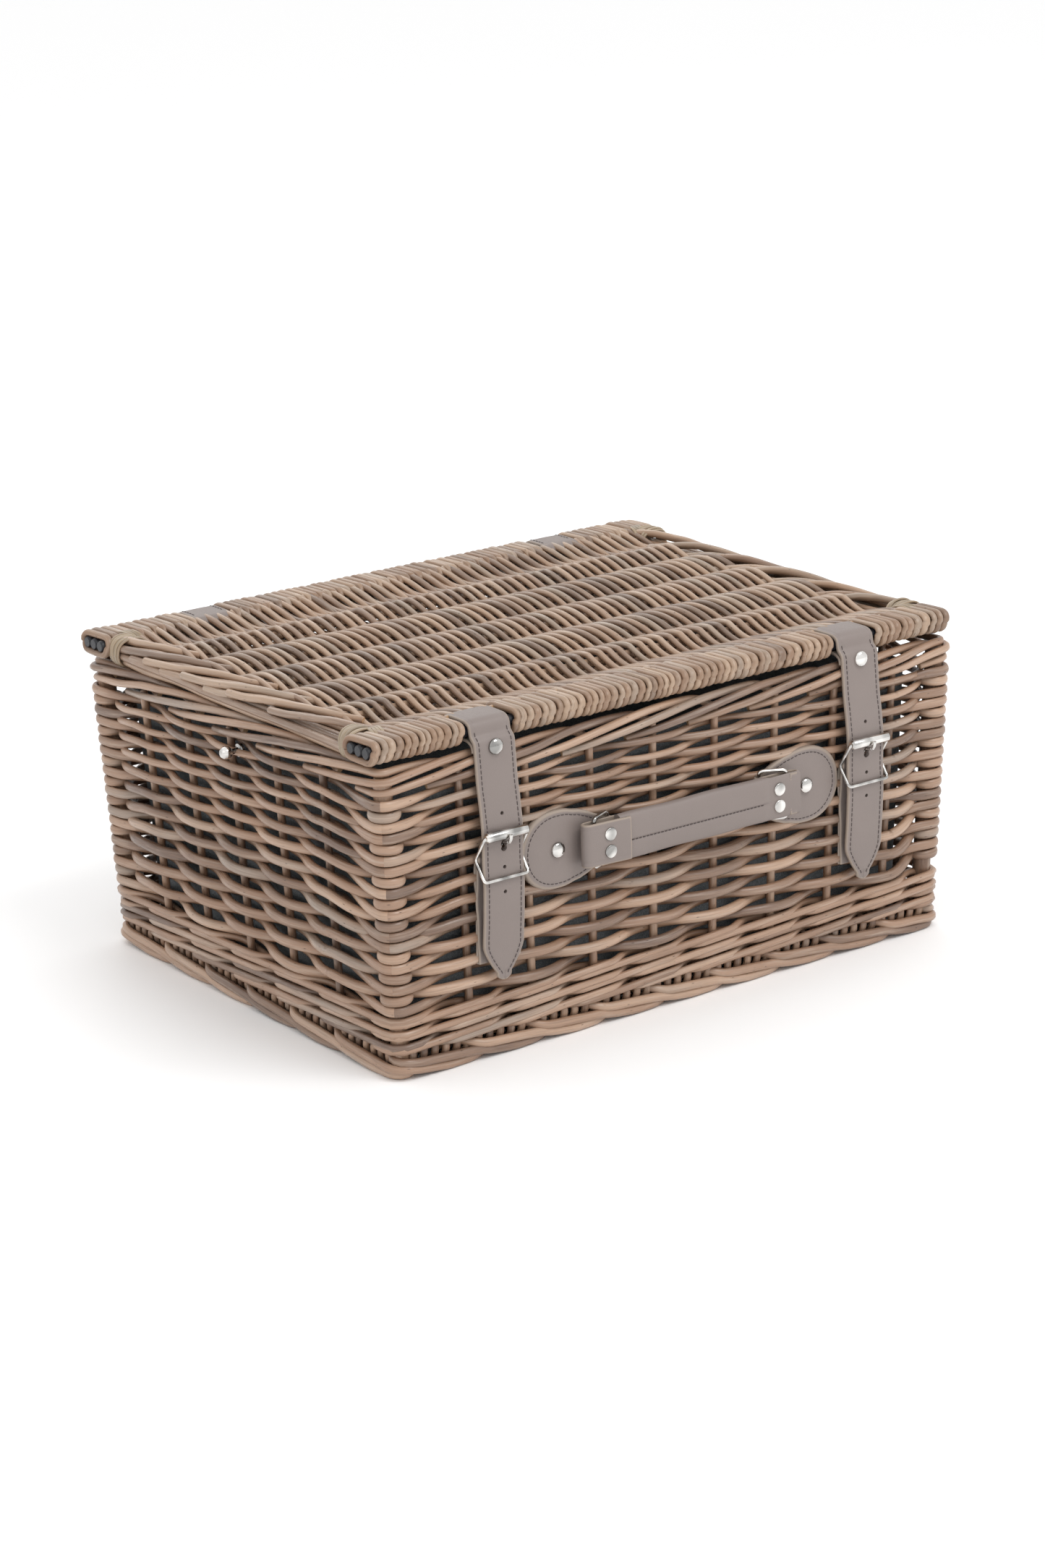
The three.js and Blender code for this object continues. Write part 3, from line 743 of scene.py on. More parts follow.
# A stake turned down at the rim, running outside the next three.
RIM = [(-0.12, -7.0, 168.0), (0.0, -6.2, 174.5), (0.25, -4.0, 179.6), (0.7, -1.6, 180.6),
       (1.2, 1.4, 180.4), (1.8, 3.8, 177.6), (2.4, 4.6, 173.6), (3.0, 3.0, 169.8),
       (3.4, -1.5, 166.8)]
piece = dark_rods("rim_border")
rim = Round(STAKE_X, STAKE_Y, 4.0)
fine, depth, height = border_run(RIM, 90, 4)
r = np.linspace(2.5, 2.15, 90)
for k in range(30):
    path, out = rim.at(rim.s_of(k - fine), depth + drift(90, 18, 0.2),
                       height + drift(90, 18, 0.3))
    # Painted shade: darker where the rod lies further in.
    piece.add(path, out, r, r, shade=np.clip(0.85 + 0.03 * depth, 0.5, 1))
piece.build()

# ---- Lining ----

# The tray is cut as a cross: the floor and one wall height on each side.
LINING_TOP = 165.4


def lining():
    corner = Round(185.4, 140.6, 24.0)
    s = np.linspace(0, corner.length, 360, endpoint=False)
    rows = []
    for z in np.linspace(17.4, LINING_TOP, 60):
        path, out = corner.at(s, 0.0, z)
        wave = 0.7 * np.sin(s / 13 + 2.2 * np.sin(s / 47) + z / 60)
        wave += 0.45 * np.sin(s / 5.1 + z / 17)
        puff = 1.2 * np.sin(math.pi * (z - 16) / 150) ** 0.5
        rows.append(path - out * (0.9 + wave + puff)[:, None] * 0.55)
    rows.append(rows[-1] - out)
    rows.append(rows[-1] - out * 0.3 - (0, 0, 13))
    floor = []
    for f in (0.08, 0.3, 0.55, 0.75, 0.9, 0.97):
        x, y = f * rows[0][:, :2].T
        floor.append(xyz(x, y, 17.0 + 0.5 * np.sin(x / 21) * np.cos(y / 17)))
    mesh = ring_mesh("lining_cloth", floor + rows, caps=(True, False))
    obj = settle(mesh, "cloth", "hamper_body", ["lining"])


lining()

# ---- Lid ----

lid_left = Rods("lid_weave_left", "willow", "lid", look="lid")
lid_right = Rods("lid_weave_right", "willow", "lid", ["lid_weave"], look="lid")
knots_y = np.array([-137.5, *STICK_Y, 137.5])
RAIL_H = 1.05            # height of a weaver on a rail, in weave amplitudes
AMPLITUDE = 4.6


def dip(t):
    """Sag of a weaver between a stick it passes over and the rail."""
    return 1.3 * np.sin(math.pi * t)


for k, x in enumerate(np.arange(-186.5, 187.0, WEAVER_PITCH)):
    sign = 1 if k % 2 == 0 else -1
    r = 1.95 * (1 + rng.normal(0, 0.05))
    y, h = [], []
    for i in range(6):
        t = np.linspace(0, 1, 15, endpoint=i == 5)
        y.append(knots_y[i] + (knots_y[i + 1] - knots_y[i]) * t)
        value = np.cos(math.pi * t) * sign * (-1) ** i
        if i == 0:
            value = RAIL_H + (-sign - RAIL_H) * smooth(t) - dip(t) * (sign < 0)
        if i == 5:
            value = value[0] + (RAIL_H - value[0]) * smooth(t) - dip(t) * (value[0] > 0)
        h.append(value)
    y, h = np.concatenate(y), np.concatenate(h)
    n = len(y)
    z = STICK_Z + AMPLITUDE * h + drift(n, 16, 0.12)
    path = xyz(x + drift(n, 22, 0.35) + 0.9 * np.sin(math.pi * y / BAY), y, z)
    # Painted shade: a weaver is darker where it dips under a stick.
    shade = np.clip(0.76 + 0.055 * AMPLITUDE * h, 0.4, 1)
    (lid_left if x < 0 else lid_right).add(path, [0, 0, 1], r, r, shade=shade, sides=10)
for piece, x0, x1 in ((lid_left, -187, 0), (lid_right, 0, 187)):
    # Painted shade: the sticks under the weavers are coloured darker (0.7).
    for y in STICK_Y:
        piece.add(xyz(np.linspace(x0, x1, 30), y, STICK_Z), [0, 0, 1], 2.75, 2.75,
                  shade=0.7)
    piece.build()

# Each wrap goes flat over and under the three rods of a rail; straps leave a gap.
WRAP_PITCH = 4.9
WRAP_WIDE = 2.3
WRAP_Y = ROD_Y[1]
for sign, label, gap in ((-1, "front", 15.35), (1, "back", 13.6)):
    piece = Rods(f"lid_{label}_wraps", "willow", "lid", look="rail")
    x = -206.6
    while x < 202.9:
        if min(abs(x - STRAP_X), abs(x + STRAP_X)) < gap + 1.8:
            x += 0.6
            continue
        wide = WRAP_WIDE * np.clip(1 + rng.normal(0, 0.15), 0.75, 1.35)
        _, c, s = circle(44)
        y = 7.5 * np.tanh(c * 6) + 5.3 * c
        z = 5.3 * power(s, 0.7) + rng.normal(0, 0.12)
        lean = s - sign * 1.2 * y / 12 * (s > 0)
        out = unit(xyz(0, sign * y * 0.35, z))
        # Painted shade: the wraps are coloured slightly darker (0.93) for the shade in the
        # gaps between them.
        piece.add(xyz(x + lean, sign * (WRAP_Y + y), ROD_Z + z), out, wide * 0.97,
                  1.9 + rng.normal(0, 0.2), closed=True, shade=0.93)
        x += WRAP_PITCH * wide / WRAP_WIDE
    piece.build()

for sign, label in ((-1, "front"), (1, "back")):
    for i, y in enumerate(ROD_Y, 1):
        piece = Rods(f"lid_{label}_rod_{i}_willow", "willow", "lid",
                     [f"lid_{label}_rod_{i}"], look="willow")
        piece.add(xyz(np.linspace(-208.2, 205.2, 60), sign * y, ROD_Z), [0, 0, 1], 3.6, 3.6,
                  dark=1.0, sides=16)
        piece.build()

# ---- Lid side borders and ties ----

# A border rod, from among the weavers over the edge rods and down outside them.
BORDER_T = np.array([-0.3, -0.1, 0.1, 0.4, 0.8, 1.2, 1.6, 2.1])    # in bays
BORDER_X = np.array([176.0, 184.0, 189.5, 194.0, 197.5, 200.0, 201.8, 203.0])
BORDER_Z = np.array([194.2, 195.6, 197.2, 198.0, 197.2, 195.4, 193.6, 192.4])
for sign, label in ((-1, "left"), (1, "right")):
    piece = Rods(f"lid_border_{label}_strands", "willow_dark", "lid",
                 [f"lid_border_{label}"], look="lid")
    for start in (-131.1, -87.4, -65.0, -43.7, -21.0, 0.0, 22.0, 43.7, 66.0, 87.4):
        last = min(2.1 + rng.normal(0, 0.1), (131.0 - start) / BAY)
        fine = np.linspace(max(BORDER_T[0], (-131.0 - start) / BAY), last, 60)
        low = 0.0 if abs(start / BAY - round(start / BAY)) < 0.01 else 2.6
        px = soften(np.interp(fine, BORDER_T, BORDER_X), 3)
        pz = soften(np.interp(fine, BORDER_T, BORDER_Z), 3) - low
        path = xyz(sign * (px + drift(60, 15, 0.25)), -sign * (start + BAY * fine),
                   pz + drift(60, 15, 0.25))
        r = 2.4 * (1 + rng.normal(0, 0.05))
        # Painted shade: the border strands are coloured slightly darker (0.95).
        piece.add(path, unit(xyz(sign * (px - 188), 0, 10.0)), r, r, shade=0.95)
    for x0, z0 in ((194.0, 188.6), (198.6, 189.4), (202.3, 188.4), (190.2, 191.0),
                   (196.2, 185.9), (200.6, 185.4)):
        path = xyz(sign * (x0 + drift(80, 14, 0.5)), np.linspace(-133.0, 133.0, 80),
                   z0 + drift(80, 14, 0.5))
        # Painted shade: the rods under the strands are coloured darker (0.85).
        piece.add(path, unit(np.array([sign * 8.0, 0, 5.0])), 2.3, 2.3, shade=0.85)
    piece.build()

for end, ys in (("front", -1), ("back", 1)):
    for label, xs in (("left", -1), ("right", 1)):
        piece = Rods(f"lid_tie_{end}_{label}", "cane", "lid",
                     [f"lid_corner_tie_{end}_{label}"])
        for k in range(6):      # round the end border
            _, c, s = circle(40)
            y = 124.6 + (k - 2.5) * 1.55 * (1.15 + 0.3 * s) + 0.9 * np.abs(c)
            x = 9.6 * power(c, 0.8) + 0.25 * rng.normal()
            z = 8.6 * power(s, 0.8) + 0.25 * rng.normal() + 0.5 * (k % 2)
            piece.add(xyz(xs * (196.2 + x), ys * y, 190.4 + z),
                      unit(xyz(xs * (x + 0.2), 0, z)), 1.15, 0.8, closed=True, sides=10)
        for k in range(4):      # over the rail
            a = np.linspace(-0.15 * math.pi, 1.1 * math.pi, 36)
            y, z = 9.2 * np.cos(a), 6.9 * power(np.sin(a), 0.8)
            x = 190.6 + (k - 1.5) * 2.1 + 2.2 * np.cos(a)
            piece.add(xyz(xs * x, ys * (133.5 + y), 192.6 + z),
                      unit(xyz(0, ys * y, z + 2.6)), 1.15, 0.8, sides=10)
        piece.build()

# ---- Leather ----


def smooth_line(points, step=1.2):
    """A curve through the points, at an even step."""
    p = np.asarray(points, float)
    p = np.vstack([2 * p[0] - p[1], p, 2 * p[-1] - p[-2]])
    out = []
    for i in range(1, len(p) - 2):
        n = max(int(np.linalg.norm(p[i + 1] - p[i]) / step), 2)
        t = np.linspace(0, 1, n, endpoint=False)[:, None]
        out.append(0.5 * (2 * p[i] + (p[i + 1] - p[i - 1]) * t
                          + (2 * p[i - 1] - 5 * p[i] + 4 * p[i + 1] - p[i + 2]) * t ** 2
                          + (3 * p[i] - p[i - 1] - 3 * p[i + 1] + p[i + 2]) * t ** 3))
    return np.vstack([*out, p[-2:-1]])


# Across half a strip from its edge: inset, height in thicknesses, how worn.
STRIP_TOP = [(0.0, -0.20, 1.0), (0.12, 0.22, 1.0), (0.55, 0.45, 0.9), (1.3, 0.5, 0.35),
             (2.55, 0.53, 0.0), (3.0, 0.46, 0.0), (3.45, 0.53, 0.0), (5.5, 0.55, 0.0)]
STITCH_INSET = 3.0


def strip(name, path, side, half, thick, body, replaces=(), span=None, holes=(),
          stitched=(), wave=0.0, crown=0.12):
    """A leather strip along path, bevelled, with stitch grooves near its edges."""
    n = len(path)
    half = np.broadcast_to(np.asarray(half, float), n)
    side = np.broadcast_to(np.asarray(side, float), path.shape)
    normal = unit(np.cross(side, unit(np.gradient(path, axis=0))))
    run = run_length(path)
    sway = wave * (np.sin(run / 7.0) + 0.6 * np.sin(run / 3.7 + 1))
    right = [(np.maximum(half - inset, 0.02), h * thick, e) for inset, h, e in STRIP_TOP]
    right.append((right[-1][0] * 0.45, 0.55 * thick + crown * 0.7, 0.0))
    under = np.maximum(half - 0.35, 0.02)
    ring = [(-x, h, e) for x, h, e in right] \
        + [(0 * half, 0.55 * thick + crown, 0.0), *right[::-1],
           (under, -0.45 * thick, 1.0), (0 * half, -0.5 * thick, 0.2),
           (-under, -0.45 * thick, 1.0)]
    points = np.stack([path + side * (x + sway)[:, None] + normal * h
                       for x, h, _ in ring], 1)
    edge = np.tile([e for _, _, e in ring], (n, 1))
    edge[[0, -1]] = 1.0
    mesh = ring_mesh(name, points, flip=True, edge=edge)
    for hole in holes:
        mesh = punch(mesh, *hole)
    mesh.set_sharp_from_angle(angle=math.radians(50))
    settle(mesh, "leather", body, replaces, span)
    if stitched:
        own = slice(*stitched)
        thread = Rods(f"{name}_stitching", "leather", body, look="thread", span=span)
        inner = np.maximum(half - STITCH_INSET, 0.02)
        for sign in (-1, 1):
            line = path + side * (sign * inner + sway)[:, None] \
                + normal * (0.53 * thick + 0.06)
            sew(thread, line[own], normal[own])
        thread.build()


def punch(mesh, place, axis, radius):
    """Cuts a round hole right through a mesh."""
    target = add_object("target", mesh)
    bpy.ops.mesh.primitive_cylinder_add(vertices=24, radius=radius * MM, depth=8 * MM)
    tool = bpy.context.active_object
    tool.location = (np.array(place) + BODY) * MM
    tool.rotation_euler = Vector(axis).to_track_quat("Z", "Y").to_euler()
    modifier = target.modifiers.new("cut", "BOOLEAN")
    modifier.operation = "DIFFERENCE"
    modifier.object = tool
    modifier.solver = "EXACT"
    graph = bpy.context.evaluated_depsgraph_get()
    result = bpy.data.meshes.new_from_object(target.evaluated_get(graph))
    bpy.data.objects.remove(target)
    bpy.data.objects.remove(tool)
    name = mesh.name
    bpy.data.meshes.remove(mesh)
    result.name = name
    return result


def sew(thread, line, normal, length=2.3, gap=0.8, radius=0.26):
    """Short dashes of thread along a line, their ends dipping into the leather."""
    run = run_length(line)
    place = 0.4
    while place + length < run[-1]:
        at = place + length * np.array([0, 0.12, 0.5, 0.88, 1.0])
        sink = np.array([-0.35, 0.0, 0.06, 0.0, -0.35])
        points, up = (np.column_stack([np.interp(at, run, v[:, k]) for k in range(3)])
                      for v in (line, normal))
        up = unit(up)
        thread.add(points + up * sink[:, None], up, radius, radius * 0.8, sides=6)
        place += length + gap


# Strap paths as (y, z). Round the lid's rail, written for the back one, bottom first.
ROUND_RAIL = [(150.5, 187.9), (140, 187.9), (134, 188.4), (131.6, 190.6), (131.4, 193),
              (132, 195.8), (134.6, 197.7), (140, 198.2), (148, 198.2)]
CLOSURE = [(-159.0, 181.9), (-158.9, 183.8), (-158.2, 185.6), (-155.0, 187.4),
           *((-y, z) for y, z in ROUND_RAIL), (-153.0, 197.8), (-155.8, 196.0),
           (-156.6, 193.0), (-157.4, 190.2), (-160.2, 187.4), (-160.8, 184.5),
           (-161.0, 180), (-161.6, 174), (-163.2, 160), (-165.3, 143), (-165.7, 138),
           (-165.7, 121), (-165.7, 104), (-164.6, 85), (-163.0, 60), (-162.6, 48.5)]
KEEPER_FOLD = [(-157.4, 59), (-157.5, 76), (-157.8, 88), (-157.6, 100), (-157.7, 112),
               (-158.0, 118.5), (-158.9, 122.4), (-160.6, 123.3), (-162.1, 121.6),
               (-161.6, 118.6), (-159.7, 112.5), (-159.0, 100), (-159.3, 88),
               (-158.9, 76), (-158.8, 59)]
HINGE = [(159.2, 144), (159.4, 158), (160.6, 166), (161.2, 174), (161.2, 182),
         (160.4, 186.6), (157.4, 190), (156.6, 193), (156.0, 196.2), (153, 197.9),
         *ROUND_RAIL[::-1], (155.5, 187.0), (158.6, 184.4)]
STRAP_HALF = 13.8
STRAP_TIP = CLOSURE[-1][1]
LEFTWARD = (-1, 0, 0)


def at_x(x, pairs, step=1.2):
    return smooth_line([(x, y, z) for y, z in pairs], step)


for label, sign in (("left", -1), ("right", 1)):
    x = sign * STRAP_X
    path = at_x(x, CLOSURE)
    down = np.arange(len(path)) > len(path) * 0.45
    above = np.where(down, path[:, 2] - STRAP_TIP, 99.0)
    taper = 1 - (1 - np.clip(above / 21.0, 0, 1)) ** 1.3
    blunt = np.clip(above / 3.0, 0, 1)
    half = np.maximum(STRAP_HALF * taper ** 0.78, 5.0 * np.sqrt(blunt * (2 - blunt)))
    holes = [((x, -165.0, z), (0, 1, 0), 1.1) for z in (146.5, 115.5, 101.0)]
    holes += [((x, -165.7, z), (0, 1, 0), 2.0) for z in (129.0, 126.6)]
    strip(f"closure_strap_{label}_leather", path, LEFTWARD, np.maximum(half, 2.2), 2.2,
          "lid", [f"closure_strap_{label}"], holes=holes, wave=0.12,
          span=("lid", f"strap_{label}", (x, -161.3, 181.0), (x, -161.3, 171.0)),
          stitched=(int(len(path) * 0.30), len(path) - 1))

    strip(f"buckle_strap_{label}_leather", at_x(x, KEEPER_FOLD), LEFTWARD, 14.3, 1.3,
          "hamper_body", [f"buckle_strap_{label}"], wave=0.35, crown=0.0)

    path = at_x(x, HINGE)
    strip(f"hinge_strap_{label}_leather", path, LEFTWARD, 12.9, 2.2, "hamper_body",
          [f"hinge_strap_{label}"], stitched=(1, int(len(path) * 0.62)),
          span=("hamper_body", "lid", (x, 161.2, 176.0), (x, 158.0, 190.0)))

# ---- Handle ----

HANDLE_Z = 115.5
HANDLE_Y = -167.6
FORWARD = (0, -1, 0)


def tube_band():
    """The padded middle of the handle: a stuffed tube with one stitched seam."""
    level = np.concatenate([np.linspace(-1, -0.3, 11), np.linspace(-0.26, -0.02, 13),
                            np.linspace(0.05, 1, 13)])
    turn = np.arcsin(power(level, 1 / 0.62))
    a = np.concatenate([turn, math.pi - turn[1:-1][::-1]])
    c, s = np.cos(a), np.sin(a)
    rings = []
    for x in np.linspace(-53.5, 77.4, 90):
        loop = smooth((x - 50.0) / 6.0)     # the right end thins out to join its loop
        z = (13.9 + 0.25 * math.sin(x / 9.0) - 1.1 * loop) * power(s, 0.62)
        y = (4.3 * (1 - loop) + 1.25 * loop) * power(c, 0.72)
        y -= 0.8 * np.exp(-((z + 2.0) / 0.8) ** 2) * (c > 0) * (1 - loop)
        rings.append(xyz(x, HANDLE_Y * (1 - loop) - 169.75 * loop - y, HANDLE_Z + z))
    mesh = ring_mesh("handle_band_leather", rings, flip=True, sharp=60)
    obj = settle(mesh, "leather", "handle", ["handle_band"])
    thread = Rods("handle_seam_stitching", "leather", "handle", look="thread")
    line = xyz(np.linspace(-49.0, 50.0, 100), -171.2, HANDLE_Z - 2.0)
    sew(thread, line, np.tile(FORWARD, (100, 1)), length=1.9, gap=0.7, radius=0.34)
    thread.build()


tube_band()
LEFT_LOOP = [(-47.5, -172.1), (-52, -171.9), (-60, -171.2), (-72, -170.6),
             (-75.4, -170.2), (-77.1, -168.6), (-77.1, -166.6), (-75.2, -164.9),
             (-70, -164.6), (-52, -164.6)]
RIGHT_LOOP = [(70.0, -169.9), (74.5, -169.8), (76.9, -168.6), (77.2, -166.6),
              (75.2, -164.9), (70, -164.6), (52, -164.6)]
for label, pairs, up in (("left", LEFT_LOOP, 1), ("right", RIGHT_LOOP, -1)):
    path = smooth_line([(x, y, HANDLE_Z) for x, y in pairs])
    strip(f"handle_loop_{label}", path, (0, 0, up), 12.7, 1.8, "handle", crown=0.1)

# ---- Metal ----


def smooth_round(points, radius):
    """A closed polyline with its corners rounded off."""
    p = np.array(points, float)
    t = np.linspace(0, 1, 9)[:, None]
    out = []
    for before, here, after in zip(np.roll(p, 1, 0), p, np.roll(p, -1, 0)):
        a, b = (here + unit(q - here) * min(radius, np.linalg.norm(q - here) / 2)
                for q in (before, after))
        out.append((1 - t) ** 2 * a + 2 * t * (1 - t) * here + t ** 2 * b)
    path = np.vstack(out)
    step = np.linalg.norm(np.diff(path, axis=0), axis=1)
    return path[np.concatenate([[True], step > 0.02])]


def metal(name, body, node):
    return Rods(name, "chrome", body, [node])


def wire(name, body, node, points, radius, corner):
    """A closed bent wire; more can be added to it before it is built."""
    piece = metal(name, body, node)
    piece.add(smooth_round(points, corner), (0.3, 0.5, 0.8), radius, radius, closed=True,
              sides=16)
    return piece


def lathe(name, profile, place, axis, body, node):
    """A turned metal head: profile is (radius, height) pairs along the axis."""
    profile = np.array(profile, float)
    steps = np.arange((len(profile) - 1) * 4 + 1) / 4
    r, h = (np.interp(steps, np.arange(len(profile)), v)[:, None] for v in profile.T)
    turn = np.array(Vector(axis).to_track_quat("Z", "Y").to_matrix())
    _, c, s = circle(40)
    rings = xyz(r * c, r * s, h) @ turn.T + np.array(place)
    mesh = ring_mesh(name, rings, caps=(False, False), sharp=40)
    settle(mesh, "chrome", body, [node])


def dome(radius, height):
    a = np.linspace(0, math.pi / 2, 9)
    return [(0.02, -0.6), (radius * 0.94, -0.6), (radius, -0.2),
            *zip(radius * np.cos(a), 0.25 + (height - 0.25) * np.sin(a)), (0.02, height)]


RIVET = [(0.02, -1.0), (3.7, -1.0), (3.95, -0.1), (3.95, 0.35), (3.75, 0.75), (3.2, 1.0),
         (2.4, 1.12), (0.02, 1.2)]
TURNED = [(0.02, -2.0), (4.2, -2.0), (4.2, -0.6), (3.8, 0.0), (1.9, 0.3), (1.6, 1.2),
          (1.6, 4.4), (2.3, 4.9), (3.3, 5.9), (3.85, 7.4), (3.85, 8.6), (3.3, 10.2),
          (2.2, 11.4), (1.0, 11.9), (0.02, 12.0)]
# Of the buckle, as (y, z): the roller's line, the centre bar and the keeper end.
ROLLER, CENTRE, KEEPER = (-170.0, 135.5), (-160.4, 121.0), (-168.6, 109.5)
BUCKLE_HALF = 14.9
BUCKLE_WIRE = 1.05
TONGUE = [(-161.2, 123.2), (-165.0, 128.8), (-169.6, 130.5), (-172.6, 131.4),
          (-174.0, 133.4), (-174.3, 135.8)]

for label, sign in (("left", -1), ("right", 1)):
    x = sign * STRAP_X
    corners = [(sign * 55, -160.1, 101), (sign * 69.4, -167.3, 101),
               (sign * 69.4, -167.3, 130), (sign * 55, -160.1, 130)]
    wire(f"handle_ring_{label}_wire", f"ring_{label}", f"handle_ring_{label}", corners,
         1.2, 2.6).build()
    front = -172.1 if sign < 0 else -171.1
    for name, profile, place, axis, body in (
            (f"handle_rivet_{label}_lower", RIVET, (sign * 61.5, front, HANDLE_Z - 5.1),
             FORWARD, "handle"),
            (f"handle_rivet_{label}_upper", RIVET, (sign * 61.5, front, HANDLE_Z + 5.1),
             FORWARD, "handle"),
            (f"handle_tab_rivet_{label}", dome(4.6, 2.6), (sign * 90, -160.6, 114.5),
             FORWARD, "hamper_body"),
            (f"strap_rivet_{label}", dome(4.7, 2.6), (x, -162.4, 184.0), (0, -1, 0.04),
             "lid"),
            (f"buckle_strap_rivet_{label}", dome(4.0, 1.5), (x, -159.7, 74.0), FORWARD,
             "hamper_body"),
            (f"hinge_rivet_{label}", dome(4.2, 1.8), (x, 160.6, 151.0), (0, 1, 0),
             "hamper_body")):
        lathe(f"{name}_head", profile, place, axis, body, name)

    # Roller buckle: bent frame, roller and prong.
    left, right = x - BUCKLE_HALF, x + BUCKLE_HALF
    corners = [(left, *ROLLER), (right, *ROLLER), (right, *CENTRE), (right, *KEEPER),
               (left, *KEEPER), (left, *CENTRE)]
    piece = wire(f"buckle_frame_{label}_wire", "hamper_body", f"buckle_frame_{label}",
                 corners, BUCKLE_WIRE, 2.2)
    piece.add(xyz([left, x, right], *CENTRE), (0, -1, 0.2), BUCKLE_WIRE, BUCKLE_WIRE,
              sides=14)
    piece.build()

    piece = metal(f"buckle_roller_{label}_tube", f"roller_{label}",
                  f"buckle_roller_{label}")
    along = np.array([-13.7, -13.5, -13.1, 0, 13.1, 13.5, 13.7])
    size = np.array([2.3, 2.7, 2.9, 2.9, 2.9, 2.7, 2.3])
    piece.add(xyz(x + along, *ROLLER), (0, -1, 0.3), size, size, sides=32)
    piece.build()

    piece = metal(f"buckle_prong_{label}_tongue", f"prong_{label}", f"buckle_prong_{label}")
    tongue = at_x(x, TONGUE, 0.8)
    piece.add(tongue, (0, -1, 0.6), np.linspace(1.5, 1.15, len(tongue)), 0.95, sides=14)
    _, c, s = circle(24)
    eye = xyz(x, CENTRE[0] + 2.1 * c, CENTRE[1] + 2.1 * s)
    piece.add(eye, (1, 0, 0), 0.65, 1.5, closed=True)
    piece.build()

lathe("stay_ball_stud_turned", TURNED, (-203.6, -9.0, 161.0), (-1, 0, 0.02), "hamper_body",
      "stay_ball_stud")

# ---- Handle tabs ----

TAB_X, TAB_Z, TAB_R = 90.0, 114.5, 23.0
NECK = [(74.0, 20.4), (68.0, 18.2), (62.5, 15.6), (57.5, 13.2), (54.5, 12.6)]
# From the back of a tab to its face: y, and how far in from the outline.
TAB_LAYERS = ((-156.9, 0.3), (-157.2, 0.0), (-158.9, 0.0), (-159.7, 0.25), (-160.15, 0.8),
              (-160.25, 2.4), (-160.1, 2.9), (-160.25, 3.4), (-160.35, 8.0))
TAB_FOLD = [(60, -160.9), (56, -162.0), (53.4, -161.6), (52.7, -160.1), (53.6, -158.4),
            (57, -158.0)]
SHRINK = 21.0            # inset that would take the outline to the tab's middle

for label, sign in (("left", -1), ("right", 1)):
    a = np.radians(np.linspace(112, -112, 60))
    round_end = np.column_stack([TAB_X + 1.09 * TAB_R * power(np.cos(a), 0.85),
                                 TAB_R * np.sin(a)])
    neck = np.vstack([np.multiply(NECK, (1, -1)), NECK[::-1]])
    middle = np.array([sign * 82.0, TAB_Z])
    outline = np.vstack([round_end, neck]) * (sign, 1) + (0, TAB_Z) - middle
    rings, edge = [], []
    for y, inset in TAB_LAYERS:
        px, pz = (middle + outline * (1 - inset / SHRINK)).T
        rings.append(xyz(px, y, pz))
        edge.append(np.full(len(outline), float(inset < 1)))
    mesh = ring_mesh(f"handle_tab_{label}_leather", rings, flip=sign < 0, sharp=50,
                     edge=edge)
    settle(mesh, "leather", "hamper_body", [f"handle_tab_{label}"])
    thread = Rods(f"handle_tab_{label}_stitching", "leather", "hamper_body", look="thread")
    seam = middle + np.vstack([outline[-3:], outline[:-7]]) * (1 - 2.9 / SHRINK)
    sew(thread, xyz(seam[:, 0], -160.3, seam[:, 1]), np.tile(FORWARD, (len(seam), 1)),
        length=2.1)
    thread.build()
    fold = smooth_line([(sign * x, y, TAB_Z) for x, y in TAB_FOLD], 0.8)
    strip(f"handle_tab_{label}_fold", fold, (0, 0, sign), 12.2, 1.5, "hamper_body",
          crown=0.0)

# ---- Camera, floor and light ----

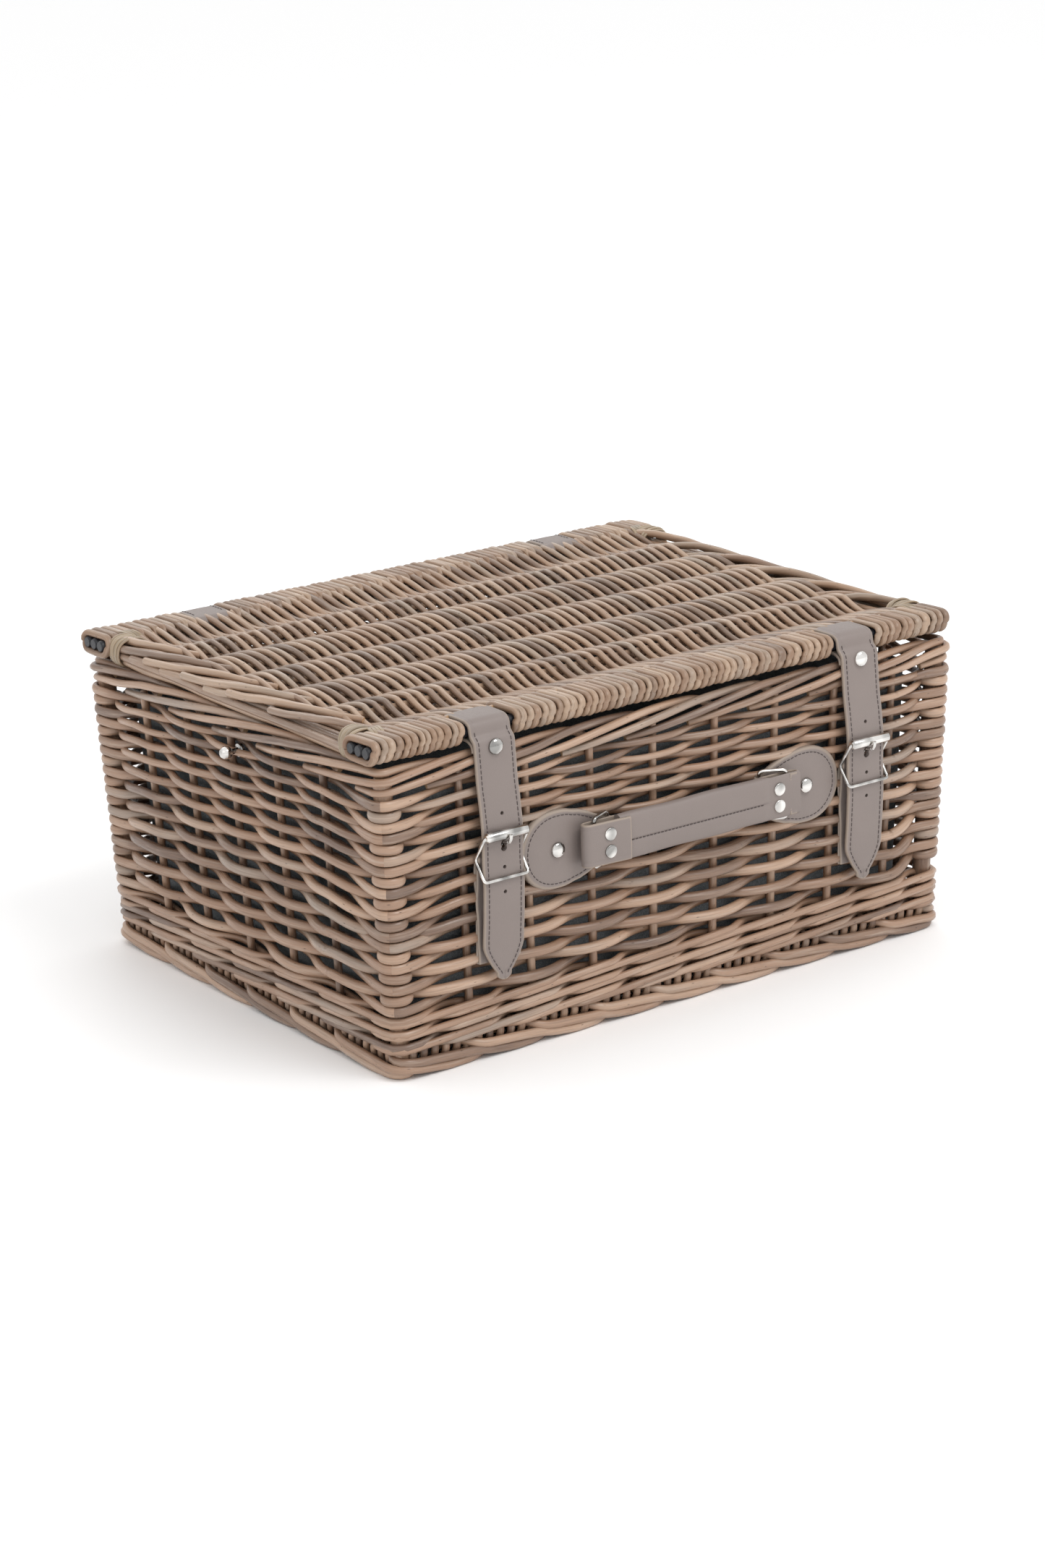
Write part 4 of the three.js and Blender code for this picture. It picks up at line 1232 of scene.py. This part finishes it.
# Solved from the photo: angles, distances in metres, focal length in millimetres.
AZ, EL, ROLL = math.radians(-35.0875), math.radians(17.644), math.radians(-1.8907)
DISTANCE, SHIFT_RIGHT, SHIFT_UP, FOCAL = 2.3424, -0.0029, 0.0911, 87.54
back = Vector((math.sin(AZ) * math.cos(EL), -math.cos(AZ) * math.cos(EL), math.sin(EL)))
right = Vector((math.cos(AZ), math.sin(AZ), 0))
up = back.cross(right)
right, up = (right * math.cos(ROLL) + up * math.sin(ROLL),
             up * math.cos(ROLL) - right * math.sin(ROLL))
spot = back * DISTANCE + right * SHIFT_RIGHT + up * SHIFT_UP + Vector(BODY * MM)
camera = add_object("camera", bpy.data.cameras.new("camera"))
matrix = camera.matrix_world.copy()
for column, axis in enumerate((right, up, back, spot)):
    for row in range(3):
        matrix[row][column] = axis[row]
camera.matrix_world = matrix
camera.data.sensor_width = 36.0
camera.data.lens = FOCAL
camera.data.clip_end = 30
bpy.context.scene.camera = camera

floor_mesh = bpy.data.meshes.new("floor")
HALF = 6.0               # of the floor, in metres
floor_mesh.from_pydata([(-HALF, -HALF, 0), (HALF, -HALF, 0), (HALF, HALF, 0),
                        (-HALF, HALF, 0)], [], [(0, 1, 2, 3)])
floor_look = Shader("pale_floor")
floor_look.set(Base_Color=(0.98, 0.98, 0.98), Roughness=0.9)
floor_mesh.materials.append(floor_look.material)
add_object("floor", floor_mesh)

world = bpy.data.worlds.new("studio")
world.use_nodes = True
world.node_tree.nodes["Background"].inputs[0].default_value = (1, 1, 1, 1)
world.node_tree.nodes["Background"].inputs[1].default_value = 1.0
bpy.context.scene.world = world


def softbox(name, place, size, power):
    light = bpy.data.lights.new(name, "AREA")
    light.shape = "RECTANGLE"
    light.size, light.size_y = size
    light.energy = power
    obj = add_object(name, light)
    obj.location = place
    toward = Vector((0, 0, 0.1)) - Vector(place)
    obj.rotation_euler = toward.to_track_quat("-Z", "Y").to_euler()


softbox("key", (0.5, -1.6, 2.3), (1.4, 1.1), 25)
softbox("fill", (-2.4, -0.4, 1.4), (1.6, 1.6), 2)
softbox("rim", (0.6, 2.4, 1.9), (1.8, 1.0), 10)
bpy.context.scene.view_settings.view_transform = "Standard"
